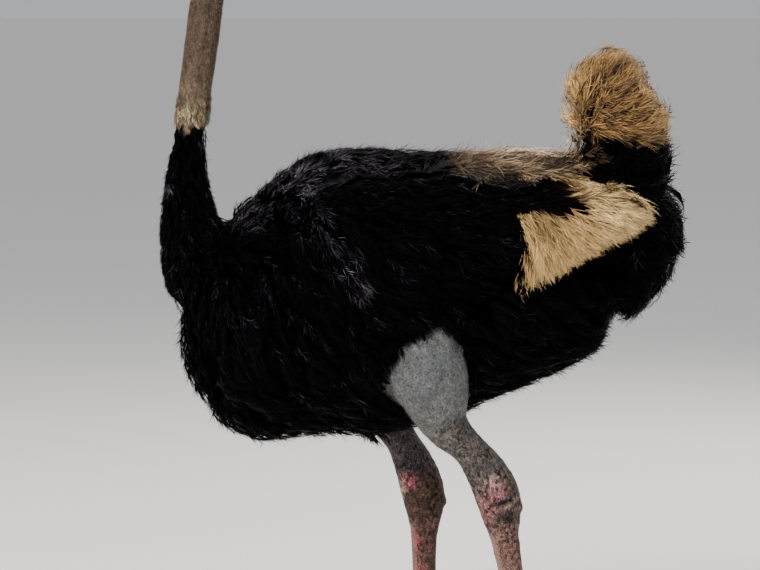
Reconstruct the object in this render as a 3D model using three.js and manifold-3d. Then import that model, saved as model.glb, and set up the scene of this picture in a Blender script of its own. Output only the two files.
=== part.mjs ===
// A life-size adult male ostrich standing in mid-stride: left leg trailing, neck upright, tail plumes raised.
// Millimetres, +Z up. The bird faces -X, so its left side is towards -Y.
// Authoring frame: X = 0 lies under the middle of the back and Z = 0 is the floor. The last lines
// move the whole bird so that the origin is the middle of its footprint on the floor.

import * as THREE from 'three';
import { mergeVertices } from 'three/addons/utils/BufferGeometryUtils.js';
import Module from 'manifold-3d';

const wasm = await Module();
wasm.setup();

// ---- driving sizes ----

const floorZ = 0;
const seam = 0.3; // gap between neighbouring solids
const backZ = 1392; // top of the back
const bellyZ = 652; // lowest feathers of the breast
const trunkHalfWidth = 244;
const wingHalfWidth = 290; // outermost wing feathers, from the middle plane
const collarZ = 1444; // where the black plumage of the neck ends
const neckHalf = 44; // half the bare neck's thickness, down included
const headZ = 2142; // height of the skull's middle
const eyeRadius = 22;

// Half sizes of the leg at each joint: sideways, then front to back.
const legGirth = {
  hip: [78, 104],
  thigh: [82, 96],
  calf: [58, 62],
  shin: [44, 44],
  hockTop: [43, 53],
  hock: [44, 59],
  hockEnd: [36, 48],
  cannonTop: [27, 35],
  cannonEnd: [27, 31],
  knuckle: [38, 36],
};

// Places of the same joints: sign is -1 for the left leg, which trails, and +1 for the right.
const legs = [
  {
    side: 'left',
    sign: -1,
    joints: {
      hip: [64, 152, 985],
      thigh: [82, 160, 815],
      calf: [112, 154, 716],
      shin: [165, 147, 660],
      hockTop: [210, 141, 602],
      hock: [242, 136, 535],
      hockEnd: [253, 134, 470],
      cannonTop: [266, 132, 400],
      cannonEnd: [306, 129, 178],
      knuckle: [318, 128, 104],
    },
  },
  {
    side: 'right',
    sign: 1,
    joints: {
      hip: [-130, 152, 985],
      thigh: [-84, 160, 822],
      calf: [-42, 154, 712],
      shin: [2, 147, 640],
      hockTop: [36, 142, 576],
      hock: [60, 138, 505],
      hockEnd: [65, 136, 440],
      cannonTop: [64, 134, 375],
      cannonEnd: [67, 131, 150],
      knuckle: [68, 130, 74],
    },
  },
];

// ---- plumage, skin and horn ----

const finish = (color, roughness) => new THREE.MeshStandardMaterial({ color, roughness, metalness: 0 });
const blackPlumage = finish(0x0b0a0d, 0.75);
const tanPlumage = finish(0xb08a58, 0.8);
const neckSkin = finish(0x8d7565, 0.8);
const legSkin = finish(0x77757a, 0.7);
const scutes = finish(0x8c5c55, 0.55);
const horn = finish(0xa97f6a, 0.45);
const clawHorn = finish(0x4b4038, 0.4);
const eyeDark = finish(0x2a1a10, 0.08);

// ---- solids ----

const bird = new THREE.Group();
const grownCutters = new Map(); // node name to the same solid grown by the seam

function solidOf(geometry) {
  geometry.deleteAttribute('normal');
  geometry.deleteAttribute('uv');
  const merged = mergeVertices(geometry, 1e-3);
  const vertProperties = new Float32Array(merged.attributes.position.array);
  const triVerts = new Uint32Array(merged.index.array);
  return new wasm.Manifold(new wasm.Mesh({ numProp: 3, vertProperties, triVerts }));
}

function geometryOf(solid) {
  const mesh = solid.getMesh();
  const geometry = new THREE.BufferGeometry();
  geometry.setAttribute('position', new THREE.BufferAttribute(new Float32Array(mesh.vertProperties), 3));
  geometry.setIndex(new THREE.BufferAttribute(new Uint32Array(mesh.triVerts), 1));
  return geometry;
}

// A closed round body along a spine. Each station gives the spine's place and the section's half sizes:
// wide is sideways (Y) and deep is in the bird's middle plane. The ends are rounded over the given
// shares of the spine. With upright sections the slices stay square to X.
function body(stations, { sides, rows, round, grow, upright = false }) {
  const spine = new THREE.CatmullRomCurve3(stations.map((s) => new THREE.Vector3(...s.at)), false, 'catmullrom');
  const sizes = new THREE.CatmullRomCurve3(
    stations.map((s) => new THREE.Vector3(s.wide + grow, s.deep + grow, 0)),
    false,
    'catmullrom',
  );
  const sideways = new THREE.Vector3(0, 1, 0);
  const capRows = 4;
  const geometry = new THREE.SphereGeometry(1, sides, rows);
  const position = geometry.attributes.position;
  const uv = geometry.attributes.uv;
  for (let i = 0; i < position.count; i += 1) {
    const row = Math.round((1 - uv.getY(i)) * rows);
    const { along, share } = rowPlace(row, rows, capRows, round);
    const angle = Math.atan2(position.getZ(i), position.getX(i));
    const centre = spine.getPoint(along);
    const tangent = upright ? new THREE.Vector3(1, 0, 0) : spine.getTangent(along);
    const side = sideways.clone().addScaledVector(tangent, -sideways.dot(tangent)).normalize();
    const up = tangent.clone().cross(side);
    const half = sizes.getPoint(along).multiplyScalar(share);
    centre.addScaledVector(side, Math.cos(angle) * half.x).addScaledVector(up, Math.sin(angle) * half.y);
    if (row === 0) centre.addScaledVector(tangent, -grow);
    if (row === rows) centre.addScaledVector(tangent, grow);
    position.setXYZ(i, centre.x, centre.y, centre.z);
  }
  return solidOf(geometry);
}

// Where a row of sections lies on the spine, from 0 to 1, and its share of the full section.
function rowPlace(row, rows, capRows, round) {
  if (row <= capRows) {
    const turn = ((row / capRows) * Math.PI) / 2;
    return { along: round[0] * (1 - Math.cos(turn)), share: row === 0 ? 0 : Math.sin(turn) };
  }
  if (row >= rows - capRows) {
    const turn = (((rows - row) / capRows) * Math.PI) / 2;
    return { along: 1 - round[1] * (1 - Math.cos(turn)), share: row === rows ? 0 : Math.sin(turn) };
  }
  const middle = (row - capRows) / (rows - 2 * capRows);
  return { along: round[0] + middle * (1 - round[0] - round[1]), share: 1 };
}

// A slice of the trunk: top and bottom edge at a place along X.
const slice = (x, top, bottom, wide) => ({ at: [x, 0, (top + bottom) / 2], deep: (top - bottom) / 2, wide });

// Adds a node. The body is made by make(grow), then cut by the nodes named in cuts.
function addNode(name, material, make, cuts = []) {
  const cut = (solid) => cuts.reduce((left, other) => left.subtract(grownCutters.get(other)), solid);
  const solid = cut(make(0));
  grownCutters.set(name, make(seam));
  const mesh = new THREE.Mesh(geometryOf(solid), material);
  mesh.name = name;
  bird.add(mesh);
}

// ---- trunk and tail ----

function trunk(grow) {
  const stations = [
    slice(-556, 1070, 862, trunkHalfWidth * 0.34),
    slice(-526, 1132, 800, trunkHalfWidth * 0.54),
    slice(-470, 1188, 713, trunkHalfWidth * 0.72),
    slice(-395, 1258, 660, trunkHalfWidth * 0.86),
    slice(-305, 1338, bellyZ - 2, trunkHalfWidth * 0.95),
    slice(-190, backZ, bellyZ + 15, trunkHalfWidth * 0.99),
    slice(-60, backZ + 4, bellyZ + 9, trunkHalfWidth),
    slice(90, backZ - 2, bellyZ + 39, trunkHalfWidth * 0.97),
    slice(220, backZ - 12, bellyZ + 95, trunkHalfWidth * 0.9),
    slice(350, backZ - 14, bellyZ + 150, trunkHalfWidth * 0.79),
    slice(460, backZ - 20, bellyZ + 200, trunkHalfWidth * 0.66),
    slice(546, backZ - 50, bellyZ + 272, trunkHalfWidth * 0.5),
  ];
  return body(stations, { sides: 22, rows: 22, round: [0.05, 0.06], upright: true, grow });
}

// The bushy black coverts that hang behind and below the raised tail.
function tailCoverts(grow) {
  const stations = [
    { at: [522, 0, 972], wide: 70, deep: 60 },
    { at: [556, 0, 1036], wide: 116, deep: 84 },
    { at: [588, 0, 1130], wide: 146, deep: 124 },
    { at: [578, 0, 1240], wide: 152, deep: 132 },
    { at: [556, 0, 1345], wide: 146, deep: 134 },
    { at: [546, 0, 1405], wide: 136, deep: 128 },
  ];
  return body(stations, { sides: 16, rows: 13, round: [0.12, 0.08], grow });
}

// The raised fan of tan tail plumes: a domed bush as wide as it is deep.
function tailPlumes(grow) {
  const stations = [
    { at: [545, 0, 1372], wide: 132, deep: 128 },
    { at: [543, 0, 1440], wide: 154, deep: 142 },
    { at: [532, 0, 1520], wide: 156, deep: 131 },
    { at: [522, 0, 1590], wide: 128, deep: 104 },
    { at: [517, 0, 1648], wide: 92, deep: 76 },
  ];
  return body(stations, { sides: 16, rows: 13, round: [0.06, 0.2], grow });
}

addNode('trunk', blackPlumage, trunk);
addNode('tail_coverts', blackPlumage, tailCoverts, ['trunk']);
addNode('tail_plumes', tanPlumage, tailPlumes, ['trunk', 'tail_coverts']);

// ---- legs ----

// A length of the leg between two heights; the whole leg runs from hip to knuckle.
function legLength(leg, topZ, endZ, grow) {
  const stations = Object.entries(leg.joints).map(([joint, [x, y, z]]) => ({
    at: [x, leg.sign * y, z],
    wide: legGirth[joint][0],
    deep: legGirth[joint][1],
  }));
  const whole = body(stations, { sides: 12, rows: 26, round: [0.06, 0.05], grow });
  const half = (seam / 2 - grow) * 0.999;
  return whole.trimByPlane([0, 0, 1], endZ + half).trimByPlane([0, 0, -1], -(topZ - half));
}

// One toe: from inside the knuckle forward and down to a pad that lies flat on the floor.
function toe(leg, { heading, reach, wide, deep, inset }, grow) {
  const [kx, ky, kz] = leg.joints.knuckle;
  const turn = THREE.MathUtils.degToRad(heading);
  const padZ = floorZ + deep - 6;
  const place = (share, z) => [
    kx - reach * share * Math.cos(turn),
    leg.sign * (ky + inset + reach * share * Math.sin(turn)),
    z,
  ];
  const stations = [
    { at: place(0.02, kz - 10), wide: wide * 0.86, deep: deep * 1.1 },
    { at: place(0.28, padZ + (kz - padZ) * 0.46), wide: wide * 0.88, deep: deep * 1.02 },
    { at: place(0.52, padZ + 4), wide: wide * 0.98, deep: deep * 1.04 },
    { at: place(0.8, padZ), wide, deep },
    { at: place(1, padZ - 5), wide: wide * 0.72, deep: deep * 0.74 },
  ];
  return body(stations, { sides: 10, rows: 13, round: [0.1, 0.14], grow }).trimByPlane([0, 0, 1], floorZ);
}

// The blunt nail of the large toe, which lies along the floor.
function claw(leg, { heading, reach }, grow) {
  const [kx, ky] = leg.joints.knuckle;
  const turn = THREE.MathUtils.degToRad(heading);
  const place = (distance, z) => [
    kx - (reach + distance) * Math.cos(turn),
    leg.sign * (ky + (reach + distance) * Math.sin(turn)),
    z,
  ];
  const stations = [
    { at: place(-24, 21), wide: 14, deep: 12 },
    { at: place(8, 16), wide: 14, deep: 13 },
    { at: place(30, 9), wide: 11, deep: 11 },
    { at: place(50, 4), wide: 6, deep: 6 },
  ];
  return body(stations, { sides: 8, rows: 9, round: [0.1, 0.16], grow }).trimByPlane([0, 0, 1], floorZ);
}

const largeToe = { heading: -4, reach: 170, wide: 33, deep: 29, inset: 0 };
const smallToe = { heading: 27, reach: 124, wide: 21, deep: 22, inset: 14 };

for (const leg of legs) {
  const { side } = leg;
  const { hip, calf, hock, knuckle } = leg.joints;
  const levels = [
    ['thigh', legSkin, hip[2] + 200, calf[2] - 14],
    ['shin', legSkin, calf[2] - 14, hock[2] + 64],
    ['hock', scutes, hock[2] + 64, hock[2] - 78],
    ['cannon', scutes, hock[2] - 78, knuckle[2] + 42],
    ['knuckle', scutes, knuckle[2] + 42, floorZ],
  ];
  for (const [name, material, topZ, endZ] of levels) {
    const cuts = topZ > bellyZ ? ['trunk'] : [];
    addNode(`${name}_${side}`, material, (grow) => legLength(leg, topZ, endZ, grow), cuts);
  }
  const toeCuts = [`knuckle_${side}`];
  addNode(`toe_large_${side}`, scutes, (grow) => toe(leg, largeToe, grow), toeCuts);
  addNode(`toe_small_${side}`, scutes, (grow) => toe(leg, smallToe, grow), [...toeCuts, `toe_large_${side}`]);
  addNode(`claw_${side}`, clawHorn, (grow) => claw(leg, largeToe, grow), [`toe_large_${side}`]);
}

// ---- wings ----

// The folded wing: a long leaf of coverts on the flank, ending in a black point over the plumes.
function wing(sign, grow) {
  const stations = [
    { at: [-262, sign * (wingHalfWidth - 96), 1150], wide: 62, deep: 96 },
    { at: [-180, sign * (wingHalfWidth - 84), 1160], wide: 70, deep: 158 },
    { at: [-40, sign * (wingHalfWidth - 78), 1174], wide: 76, deep: 176 },
    { at: [120, sign * (wingHalfWidth - 84), 1186], wide: 74, deep: 164 },
    { at: [240, sign * (wingHalfWidth - 96), 1204], wide: 68, deep: 128 },
    { at: [312, sign * (wingHalfWidth - 94), 1246], wide: 52, deep: 76 },
    { at: [380, sign * (wingHalfWidth - 82), 1272], wide: 36, deep: 38 },
    { at: [470, sign * (wingHalfWidth - 72), 1252], wide: 18, deep: 18 },
  ];
  return body(stations, { sides: 12, rows: 15, round: [0.08, 0.06], grow });
}

// The fan of long tan plumes that leaves the wing's hind edge and hangs over the rump.
function wingPlumes(sign, grow) {
  const stations = [
    { at: [262, sign * (wingHalfWidth - 116), 1156], wide: 44, deep: 88 },
    { at: [330, sign * (wingHalfWidth - 104), 1168], wide: 50, deep: 112 },
    { at: [430, sign * (wingHalfWidth - 108), 1216], wide: 50, deep: 96 },
    { at: [520, sign * (wingHalfWidth - 124), 1238], wide: 46, deep: 74 },
    { at: [618, sign * (wingHalfWidth - 142), 1230], wide: 34, deep: 36 },
  ];
  return body(stations, { sides: 10, rows: 12, round: [0.1, 0.14], grow });
}

for (const { side, sign } of legs) {
  addNode(`wing_${side}`, blackPlumage, (grow) => wing(sign, grow), ['trunk', `thigh_${side}`]);
  addNode(`wing_plumes_${side}`, tanPlumage, (grow) => wingPlumes(sign, grow), [
    'trunk',
    'tail_coverts',
    `wing_${side}`,
  ]);
}

// ---- neck ----

function neckLength(fromZ, toZ, grow) {
  const stations = [
    { at: [-474, 0, 1000], wide: 90, deep: 94 },
    { at: [-505, 0, 1095], wide: 88, deep: 100 },
    { at: [-526, 0, 1200], wide: 70, deep: 82 },
    { at: [-534, 0, 1305], wide: 54, deep: 62 },
    { at: [-528, 0, 1400], wide: 45, deep: 48 },
    { at: [-514, 0, 1510], wide: neckHalf - 3, deep: neckHalf - 1 },
    { at: [-495, 0, 1640], wide: neckHalf - 3, deep: neckHalf },
    { at: [-479, 0, 1765], wide: neckHalf - 4, deep: neckHalf },
    { at: [-465, 0, 1890], wide: neckHalf - 7, deep: neckHalf - 4 },
    { at: [-462, 0, 2000], wide: neckHalf - 10, deep: neckHalf - 8 },
    { at: [-481, 0, 2085], wide: neckHalf - 13, deep: neckHalf - 11 },
    { at: [-512, 0, 2130], wide: neckHalf - 15, deep: neckHalf - 14 },
  ];
  const whole = body(stations, { sides: 14, rows: 28, round: [0.06, 0.04], grow });
  const half = (seam / 2 - grow) * 0.999;
  return whole.trimByPlane([0, 0, 1], fromZ + half).trimByPlane([0, 0, -1], -(toZ - half));
}

// ---- head ----

function skull(grow) {
  const stations = [
    { at: [-484, 0, headZ - 14], wide: 26, deep: 28 },
    { at: [-512, 0, headZ - 3], wide: 37, deep: 39 },
    { at: [-545, 0, headZ + 3], wide: 43, deep: 42 },
    { at: [-580, 0, headZ + 1], wide: 41, deep: 38 },
    { at: [-610, 0, headZ - 7], wide: 34, deep: 28 },
    { at: [-638, 0, headZ - 12], wide: 29, deep: 21 },
  ];
  return body(stations, { sides: 14, rows: 14, round: [0.16, 0.12], grow });
}

// The broad flat bill with its rounded tip.
function bill(grow) {
  const stations = [
    { at: [-588, 0, headZ - 13], wide: 34, deep: 23 },
    { at: [-630, 0, headZ - 15], wide: 32, deep: 21 },
    { at: [-664, 0, headZ - 19], wide: 28, deep: 17 },
    { at: [-692, 0, headZ - 23], wide: 23, deep: 12 },
    { at: [-713, 0, headZ - 27], wide: 17, deep: 8 },
  ];
  return body(stations, { sides: 12, rows: 12, round: [0.12, 0.12], grow });
}

// The gape falls a little towards the tip of the bill, so the upper half covers the tip.
const gapeNormal = [-0.07, 0, 1];
const gapePoint = [-650, 0, headZ - 25];

function billHalf(upper, grow) {
  const whole = bill(grow);
  const n = new THREE.Vector3(...gapeNormal).normalize();
  const level = n.dot(new THREE.Vector3(...gapePoint));
  const half = (seam / 2 - grow) * 0.999;
  if (upper) return whole.trimByPlane([n.x, n.y, n.z], level + half);
  return whole.trimByPlane([-n.x, -n.y, -n.z], -(level - half));
}

function eye(sign, grow) {
  const geometry = new THREE.SphereGeometry(eyeRadius + grow, 14, 10);
  geometry.translate(-566, sign * (eyeRadius + 3), headZ + 10);
  return solidOf(geometry);
}

for (const { side, sign } of legs) addNode(`eye_${side}`, eyeDark, (grow) => eye(sign, grow));
addNode('head', neckSkin, skull, ['eye_left', 'eye_right']);
addNode('bill_upper', horn, (grow) => billHalf(true, grow), ['head']);
addNode('bill_lower', horn, (grow) => billHalf(false, grow), ['head']);

addNode('neck_collar', blackPlumage, (grow) => neckLength(900, collarZ, grow), ['trunk']);
addNode('neck', neckSkin, (grow) => neckLength(collarZ, headZ + 60, grow), ['head']);

// ---- the row's frame: the middle of the footprint box on the floor ----

const box = new THREE.Box3().setFromObject(bird, true);
const middle = box.getCenter(new THREE.Vector3());
bird.position.set(-middle.x, -middle.y, -box.min.z);

export default bird;
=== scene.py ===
import math

import bpy
import numpy as np
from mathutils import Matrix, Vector, kdtree
from mathutils.bvhtree import BVHTree


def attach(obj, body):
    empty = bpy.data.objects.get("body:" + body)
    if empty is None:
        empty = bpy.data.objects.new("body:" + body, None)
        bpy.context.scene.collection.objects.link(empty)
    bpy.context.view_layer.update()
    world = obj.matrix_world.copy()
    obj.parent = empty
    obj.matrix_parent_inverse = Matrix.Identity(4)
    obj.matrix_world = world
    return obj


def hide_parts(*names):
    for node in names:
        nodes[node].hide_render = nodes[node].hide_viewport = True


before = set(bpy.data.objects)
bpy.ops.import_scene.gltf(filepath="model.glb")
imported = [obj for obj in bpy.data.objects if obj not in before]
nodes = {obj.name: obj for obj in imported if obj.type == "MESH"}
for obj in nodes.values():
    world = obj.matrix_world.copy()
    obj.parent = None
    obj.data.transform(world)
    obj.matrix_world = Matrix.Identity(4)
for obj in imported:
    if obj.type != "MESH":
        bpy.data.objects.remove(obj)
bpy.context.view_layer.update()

seeds = np.random.default_rng(11)
scene = bpy.context.scene
sides = (("left", -1), ("right", 1))

# camera, lights, floor

shot = {
    "distance": 7.5,  # from the bird's middle plane
    "height": 1.73,
    "across": -0.0518,  # where the middle of the frame crosses the bird
    "pitch": 5.2,  # degrees down
    "lens": 142.1,
}


def setCamera():
    bpy.ops.object.camera_add(
        location=(shot["across"], -shot["distance"], shot["height"]),
        rotation=(math.radians(90 - shot["pitch"]), 0, 0),
    )
    camera = bpy.context.object
    camera.name = "camera"
    camera.data.lens = shot["lens"]
    camera.data.sensor_width = 36
    camera.data.clip_end = 2000
    scene.camera = camera


studio = {
    "floorColour": (0.92, 0.91, 0.895),
    "skyColour": (0.80, 0.81, 0.83),
    "skyStrength": 0.62,
    # name, place, size, watts, colour
    "lamps": [
        ("keyLamp", (-3.4, -4.2, 5.6), 2.0, 860, (1.0, 0.97, 0.92)),
        ("fillLamp", (3.0, -6.5, 2.6), 4.0, 80, (0.92, 0.95, 1.0)),
        ("rimLamp", (2.6, 4.2, 4.6), 2.6, 260, (1.0, 0.96, 0.9)),
    ],
    "aim": (0, 0, 1.1),
}


def setStudio():
    for name, place, size, watts, colour in studio["lamps"]:
        bpy.ops.object.light_add(type="AREA", location=place)
        lamp = bpy.context.object
        lamp.name = name
        lamp.data.size = size
        lamp.data.energy = watts
        lamp.data.color = colour
        towards = Vector(studio["aim"]) - Vector(place)
        lamp.rotation_euler = towards.to_track_quat("-Z", "Y").to_euler()
    world = bpy.data.worlds.new("studioSky")
    world.use_nodes = True
    background = world.node_tree.nodes["Background"]
    background.inputs["Color"].default_value = (*studio["skyColour"], 1)
    background.inputs["Strength"].default_value = studio["skyStrength"]
    scene.world = world
    bpy.ops.mesh.primitive_plane_add(size=1600, location=(0, 0, 0))
    floor = bpy.context.object
    floor.name = "floor"
    material = newMaterial("floorPaint", studio["floorColour"], roughness=0.85)
    floor.data.materials.append(material)


# small helpers

def newMaterial(name, colour, roughness=0.6):
    material = bpy.data.materials.new(name)
    material.use_nodes = True
    shader = material.node_tree.nodes["Principled BSDF"]
    shader.inputs["Base Color"].default_value = (*colour, 1)
    shader.inputs["Roughness"].default_value = roughness
    return material


def selectOnly(*pieces):
    if bpy.context.mode != "OBJECT":
        bpy.ops.object.mode_set(mode="OBJECT")
    bpy.ops.object.select_all(action="DESELECT")
    for piece in pieces:
        piece.select_set(True)
    bpy.context.view_layer.objects.active = pieces[0]


def finishModifier(piece, kind, **settings):
    selectOnly(piece)
    modifier = piece.modifiers.new(kind.lower(), kind)
    for key, value in settings.items():
        setattr(modifier, key, value)
    bpy.ops.object.modifier_apply(modifier=modifier.name)


def editWhole(piece, operator, **settings):
    # runs one operator on the whole mesh in edit mode
    selectOnly(piece)
    bpy.ops.object.mode_set(mode="EDIT")
    bpy.ops.mesh.select_all(action="SELECT")
    operator(**settings)
    bpy.ops.object.mode_set(mode="OBJECT")


def addBall(place, radius, segments, rings):
    bpy.ops.mesh.primitive_uv_sphere_add(
        segments=segments, ring_count=rings, radius=radius, location=place
    )
    bpy.ops.object.transform_apply()
    return bpy.context.object


def joinAll(*pieces):
    selectOnly(*pieces)
    bpy.ops.object.join()


def shadeSmooth(piece):
    selectOnly(piece)
    bpy.ops.object.shade_smooth()


def handOver(piece, paint, slot, *replaced):
    # paint and body of a finished piece, and the nodes that it stands for, which are hidden; the
    # slot is not used
    piece.data.materials.append(paints[paint])
    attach(piece, "root")
    if replaced:
        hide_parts(*replaced)


def pointsOf(mesh, label="co"):
    points = np.empty(len(mesh.vertices) * 3)
    mesh.vertices.foreach_get(label, points)
    return points.reshape(-1, 3)


def normalsOf(mesh):
    return pointsOf(mesh, "normal")


def edgesOf(mesh):
    edges = np.empty(len(mesh.edges) * 2, np.int32)
    mesh.edges.foreach_get("vertices", edges)
    return edges.reshape(-1, 2)


def cornersOf(mesh, label="vertices"):
    # the three points, or the three loops, of each triangle
    mesh.calc_loop_triangles()
    corners = np.empty(len(mesh.loop_triangles) * 3, np.int32)
    mesh.loop_triangles.foreach_get(label, corners)
    return corners.reshape(-1, 3)


def setPoints(mesh, points):
    mesh.vertices.foreach_set("co", points.astype(np.float32).ravel())
    mesh.update()


def oneSide(points):
    # the same points with those of the left side mirrored to the right
    return points * (1, 0, 1) + np.abs(points) * (0, 1, 0)


def paintPoints(mesh, label, colours):
    values = np.ones((len(colours), 4), np.float32)
    values[:, : colours.shape[1]] = colours
    attribute = mesh.color_attributes.new(label, "FLOAT_COLOR", "POINT")
    attribute.data.foreach_set("color", values.ravel())


def unit(vectors):
    return vectors / np.maximum(np.linalg.norm(vectors, axis=-1, keepdims=True), 1e-9)


def between(values, low, high):
    share = np.clip((values - low) / (high - low), 0, 1)
    return share * share * (3 - 2 * share)


def areasOf(corners):
    cross = np.cross(corners[:, 1] - corners[:, 0], corners[:, 2] - corners[:, 0])
    return np.linalg.norm(cross, axis=1) / 2


def anywhereIn(count):
    # shares that give a random place in each of many triangles
    u, v = seeds.random((2, count, 1))
    flip = u + v > 1
    return np.where(flip, 1 - u, u), np.where(flip, 1 - v, v)


def placesIn(corners, shares):
    a, b, c = corners.transpose(1, 0, 2)
    return a + shares[0] * (b - a) + shares[1] * (c - a)


def smoothField(mesh, values, rounds):
    # averages a value, or a vector, over each point's neighbours
    a, b = edgesOf(mesh).T
    count = np.bincount(a, minlength=len(values)) + np.bincount(b, minlength=len(values))
    field = np.asarray(values, float).reshape(len(values), -1)
    for _ in range(rounds):
        total = np.zeros_like(field)
        for column in range(field.shape[1]):
            total[:, column] += np.bincount(a, field[b, column], len(values))
            total[:, column] += np.bincount(b, field[a, column], len(values))
        field = 0.5 * field + 0.5 * total / np.maximum(count, 1)[:, None]
    return field.reshape(np.shape(values))


def copiesOf(names, pieceName, grow=0.0006):
    # one object from copies of CAD nodes, each grown a little so that neighbours meet
    copies = []
    for name in names:
        piece = bpy.data.objects.new(name + "Copy", nodes[name].data.copy())
        scene.collection.objects.link(piece)
        editWhole(piece, bpy.ops.mesh.remove_doubles, threshold=0.00001)
        editWhole(piece, bpy.ops.transform.shrink_fatten, value=grow)
        copies.append(piece)
    selectOnly(*copies)
    if len(copies) > 1:
        bpy.ops.object.join()
    joined = bpy.context.object
    joined.name = pieceName
    joined.data.materials.clear()
    return joined


def cutAt(piece, height, keep, fill=False):
    # cuts the piece at a level and keeps what is above or below
    editWhole(
        piece,
        bpy.ops.mesh.bisect,
        plane_co=(0, 0, height),
        plane_no=(0, 0, 1),
        clear_inner=keep == "above",
        clear_outer=keep == "below",
        use_fill=fill,
    )


# skin

skinShape = {
    "bodyVoxel": 0.011,
    "headVoxel": 0.0018,
    "footVoxel": 0.0034,
    "headCut": 2.055,  # levels where the finer head and feet are joined on
    "footCut": 0.20,
    "bare": 0.005,  # a node with a thinner coat than this counts as bare skin
    "thinShare": 0.3,  # most of the body's thickness that the coat may take
    "sole": 0.0025,  # what lies lower than this is pressed flat on the floor
    # how far the skin lies inside each node, in metres: the depth of its coat
    "depth": {
        "trunk": 0.026,
        "wing": 0.022,
        "tail_coverts": 0.038,
        "tail_plumes": 0.050,
        "wing_plumes": 0.026,
        "neck_collar": 0.014,
        "neck": 0.0030,
        "head": 0.0012,
        "thigh": 0.0025,
        "shin": 0.0016,
        "hock": 0.0006,
        "cannon": 0.0012,
        "knuckle": 0.0008,
        "toe": 0.0010,
    },
}

notFlesh = ("eye", "bill", "claw")
fleshNodes = [name for name in nodes if not name.startswith(notFlesh)]


def depthOf(nodeName):
    fits = [key for key in skinShape["depth"] if nodeName.startswith(key)]
    return skinShape["depth"][max(fits, key=len)]


def nodeFinder():
    # a search tree of points on the CAD nodes, to tell which node a place belongs to
    areaEach, fewest, most = 0.00006, 400, 20000
    places, owners = [], []
    for index, name in enumerate(fleshNodes):
        mesh = nodes[name].data
        corners = pointsOf(mesh)[cornersOf(mesh)]
        areas = areasOf(corners)
        count = int(np.clip(areas.sum() / areaEach, fewest, most))
        picked = seeds.choice(len(areas), count, p=areas / areas.sum())
        places.append(placesIn(corners[picked], anywhereIn(count)))
        owners += [index] * count
    places = np.vstack(places)
    tree = kdtree.KDTree(len(places))
    for index, place in enumerate(places):
        tree.insert(place, index)
    tree.balance()
    owners = np.array(owners)

    def nodeAt(points):
        return owners[[tree.find(point)[1] for point in points]]

    return nodeAt


nodeAt = nodeFinder()
nodeDepth = np.array([depthOf(name) for name in fleshNodes])
bareNode = nodeDepth < skinShape["bare"]


def named(*starts):
    # which of the flesh nodes have a name that starts so
    return np.array([name.startswith(starts) for name in fleshNodes])


def signedGap(points, tree):
    # distance from the outer surface, negative inside it
    gaps = np.empty(len(points))
    for index, point in enumerate(points):
        place, normal, _, distance = tree.find_nearest(point)
        outside = (Vector(point) - place).dot(normal) > 0
        gaps[index] = distance if outside else -distance
    return gaps


def thicknessAt(points, normals, tree):
    # how thick the body is under each point, to keep thin places from closing
    start, farthest = 0.004, 0.3
    thickness = np.full(len(points), farthest)
    for index, (point, normal) in enumerate(zip(points, normals)):
        inwards = Vector(-normal)
        hit = tree.ray_cast(Vector(point) + inwards * start, inwards, farthest)
        if hit[0]:
            thickness[index] = hit[3]
    return thickness


def settle(piece, tree, rounds, smoothing):
    # moves the skin to its depth under the outer surface, smoothly
    mesh = piece.data
    points = pointsOf(mesh)
    depth = nodeDepth[nodeAt(points)]
    thickness = thicknessAt(points, normalsOf(mesh), tree)
    depth = smoothField(mesh, np.minimum(depth, thickness * skinShape["thinShare"]), 8)
    for turn in range(rounds):
        share = (turn + 1) / rounds
        move = -depth * share - signedGap(points, tree)
        move = smoothField(mesh, move, smoothing)
        points = points + normalsOf(mesh) * move[:, None]
        setPoints(mesh, points)
        points = smoothField(mesh, points, 2)
        setPoints(mesh, points)


def treeOf(piece):
    return BVHTree.FromObject(piece, bpy.context.evaluated_depsgraph_get())


def makeSkin():
    sharp = ("head", "knuckle", "toe")
    body = copiesOf([n for n in fleshNodes if not n.startswith(sharp)], "skin")
    finishModifier(body, "REMESH", mode="VOXEL", voxel_size=skinShape["bodyVoxel"])
    finishModifier(body, "SMOOTH", iterations=3)
    tree = treeOf(body)
    refineBare(body)
    settle(body, tree, 4, 3)
    cutAt(body, skinShape["headCut"], keep="below")
    cutAt(body, skinShape["footCut"], keep="above")

    head = copiesOf(["neck"], "headSkin")
    cutAt(head, skinShape["headCut"] - 0.05, keep="above", fill=True)
    joinAll(head, copiesOf(["head"], "skull"), *lidDomes())
    finishModifier(head, "REMESH", mode="VOXEL", voxel_size=skinShape["headVoxel"])
    headTree = treeOf(head)
    finishModifier(head, "SMOOTH", iterations=8)
    settle(head, headTree, 1, 6)
    openLids(head)
    cutAt(head, skinShape["headCut"], keep="above")

    feet = copiesOf([n for n in fleshNodes if n.startswith("cannon")], "feetSkin")
    cutAt(feet, skinShape["footCut"] + 0.05, keep="below", fill=True)
    toes = copiesOf([n for n in fleshNodes if n.startswith(("knuckle", "toe"))], "toes")
    balls = [addBall(*joint, 20, 14) for joint in toeJoints]
    joinAll(feet, toes, *balls)
    finishModifier(feet, "REMESH", mode="VOXEL", voxel_size=skinShape["footVoxel"])
    footTree = treeOf(feet)
    finishModifier(feet, "SMOOTH", iterations=6)
    settle(feet, footTree, 1, 6)
    taperToes(feet)
    flattenSoles(feet)
    cutAt(feet, skinShape["footCut"], keep="below")

    joinAll(body, head, feet)
    bridgeSeam(body, skinShape["headCut"])
    for _, sign in sides:
        bridgeSeam(body, skinShape["footCut"], sign)
    return body


# round joints under each cannon, where the toes part: place and radius, in metres
toeJoints = [
    ((0.312, -0.128, 0.098), 0.033),
    ((0.288, -0.130, 0.074), 0.031),
    ((0.062, 0.130, 0.070), 0.033),
    ((0.040, 0.132, 0.052), 0.031),
]
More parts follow.
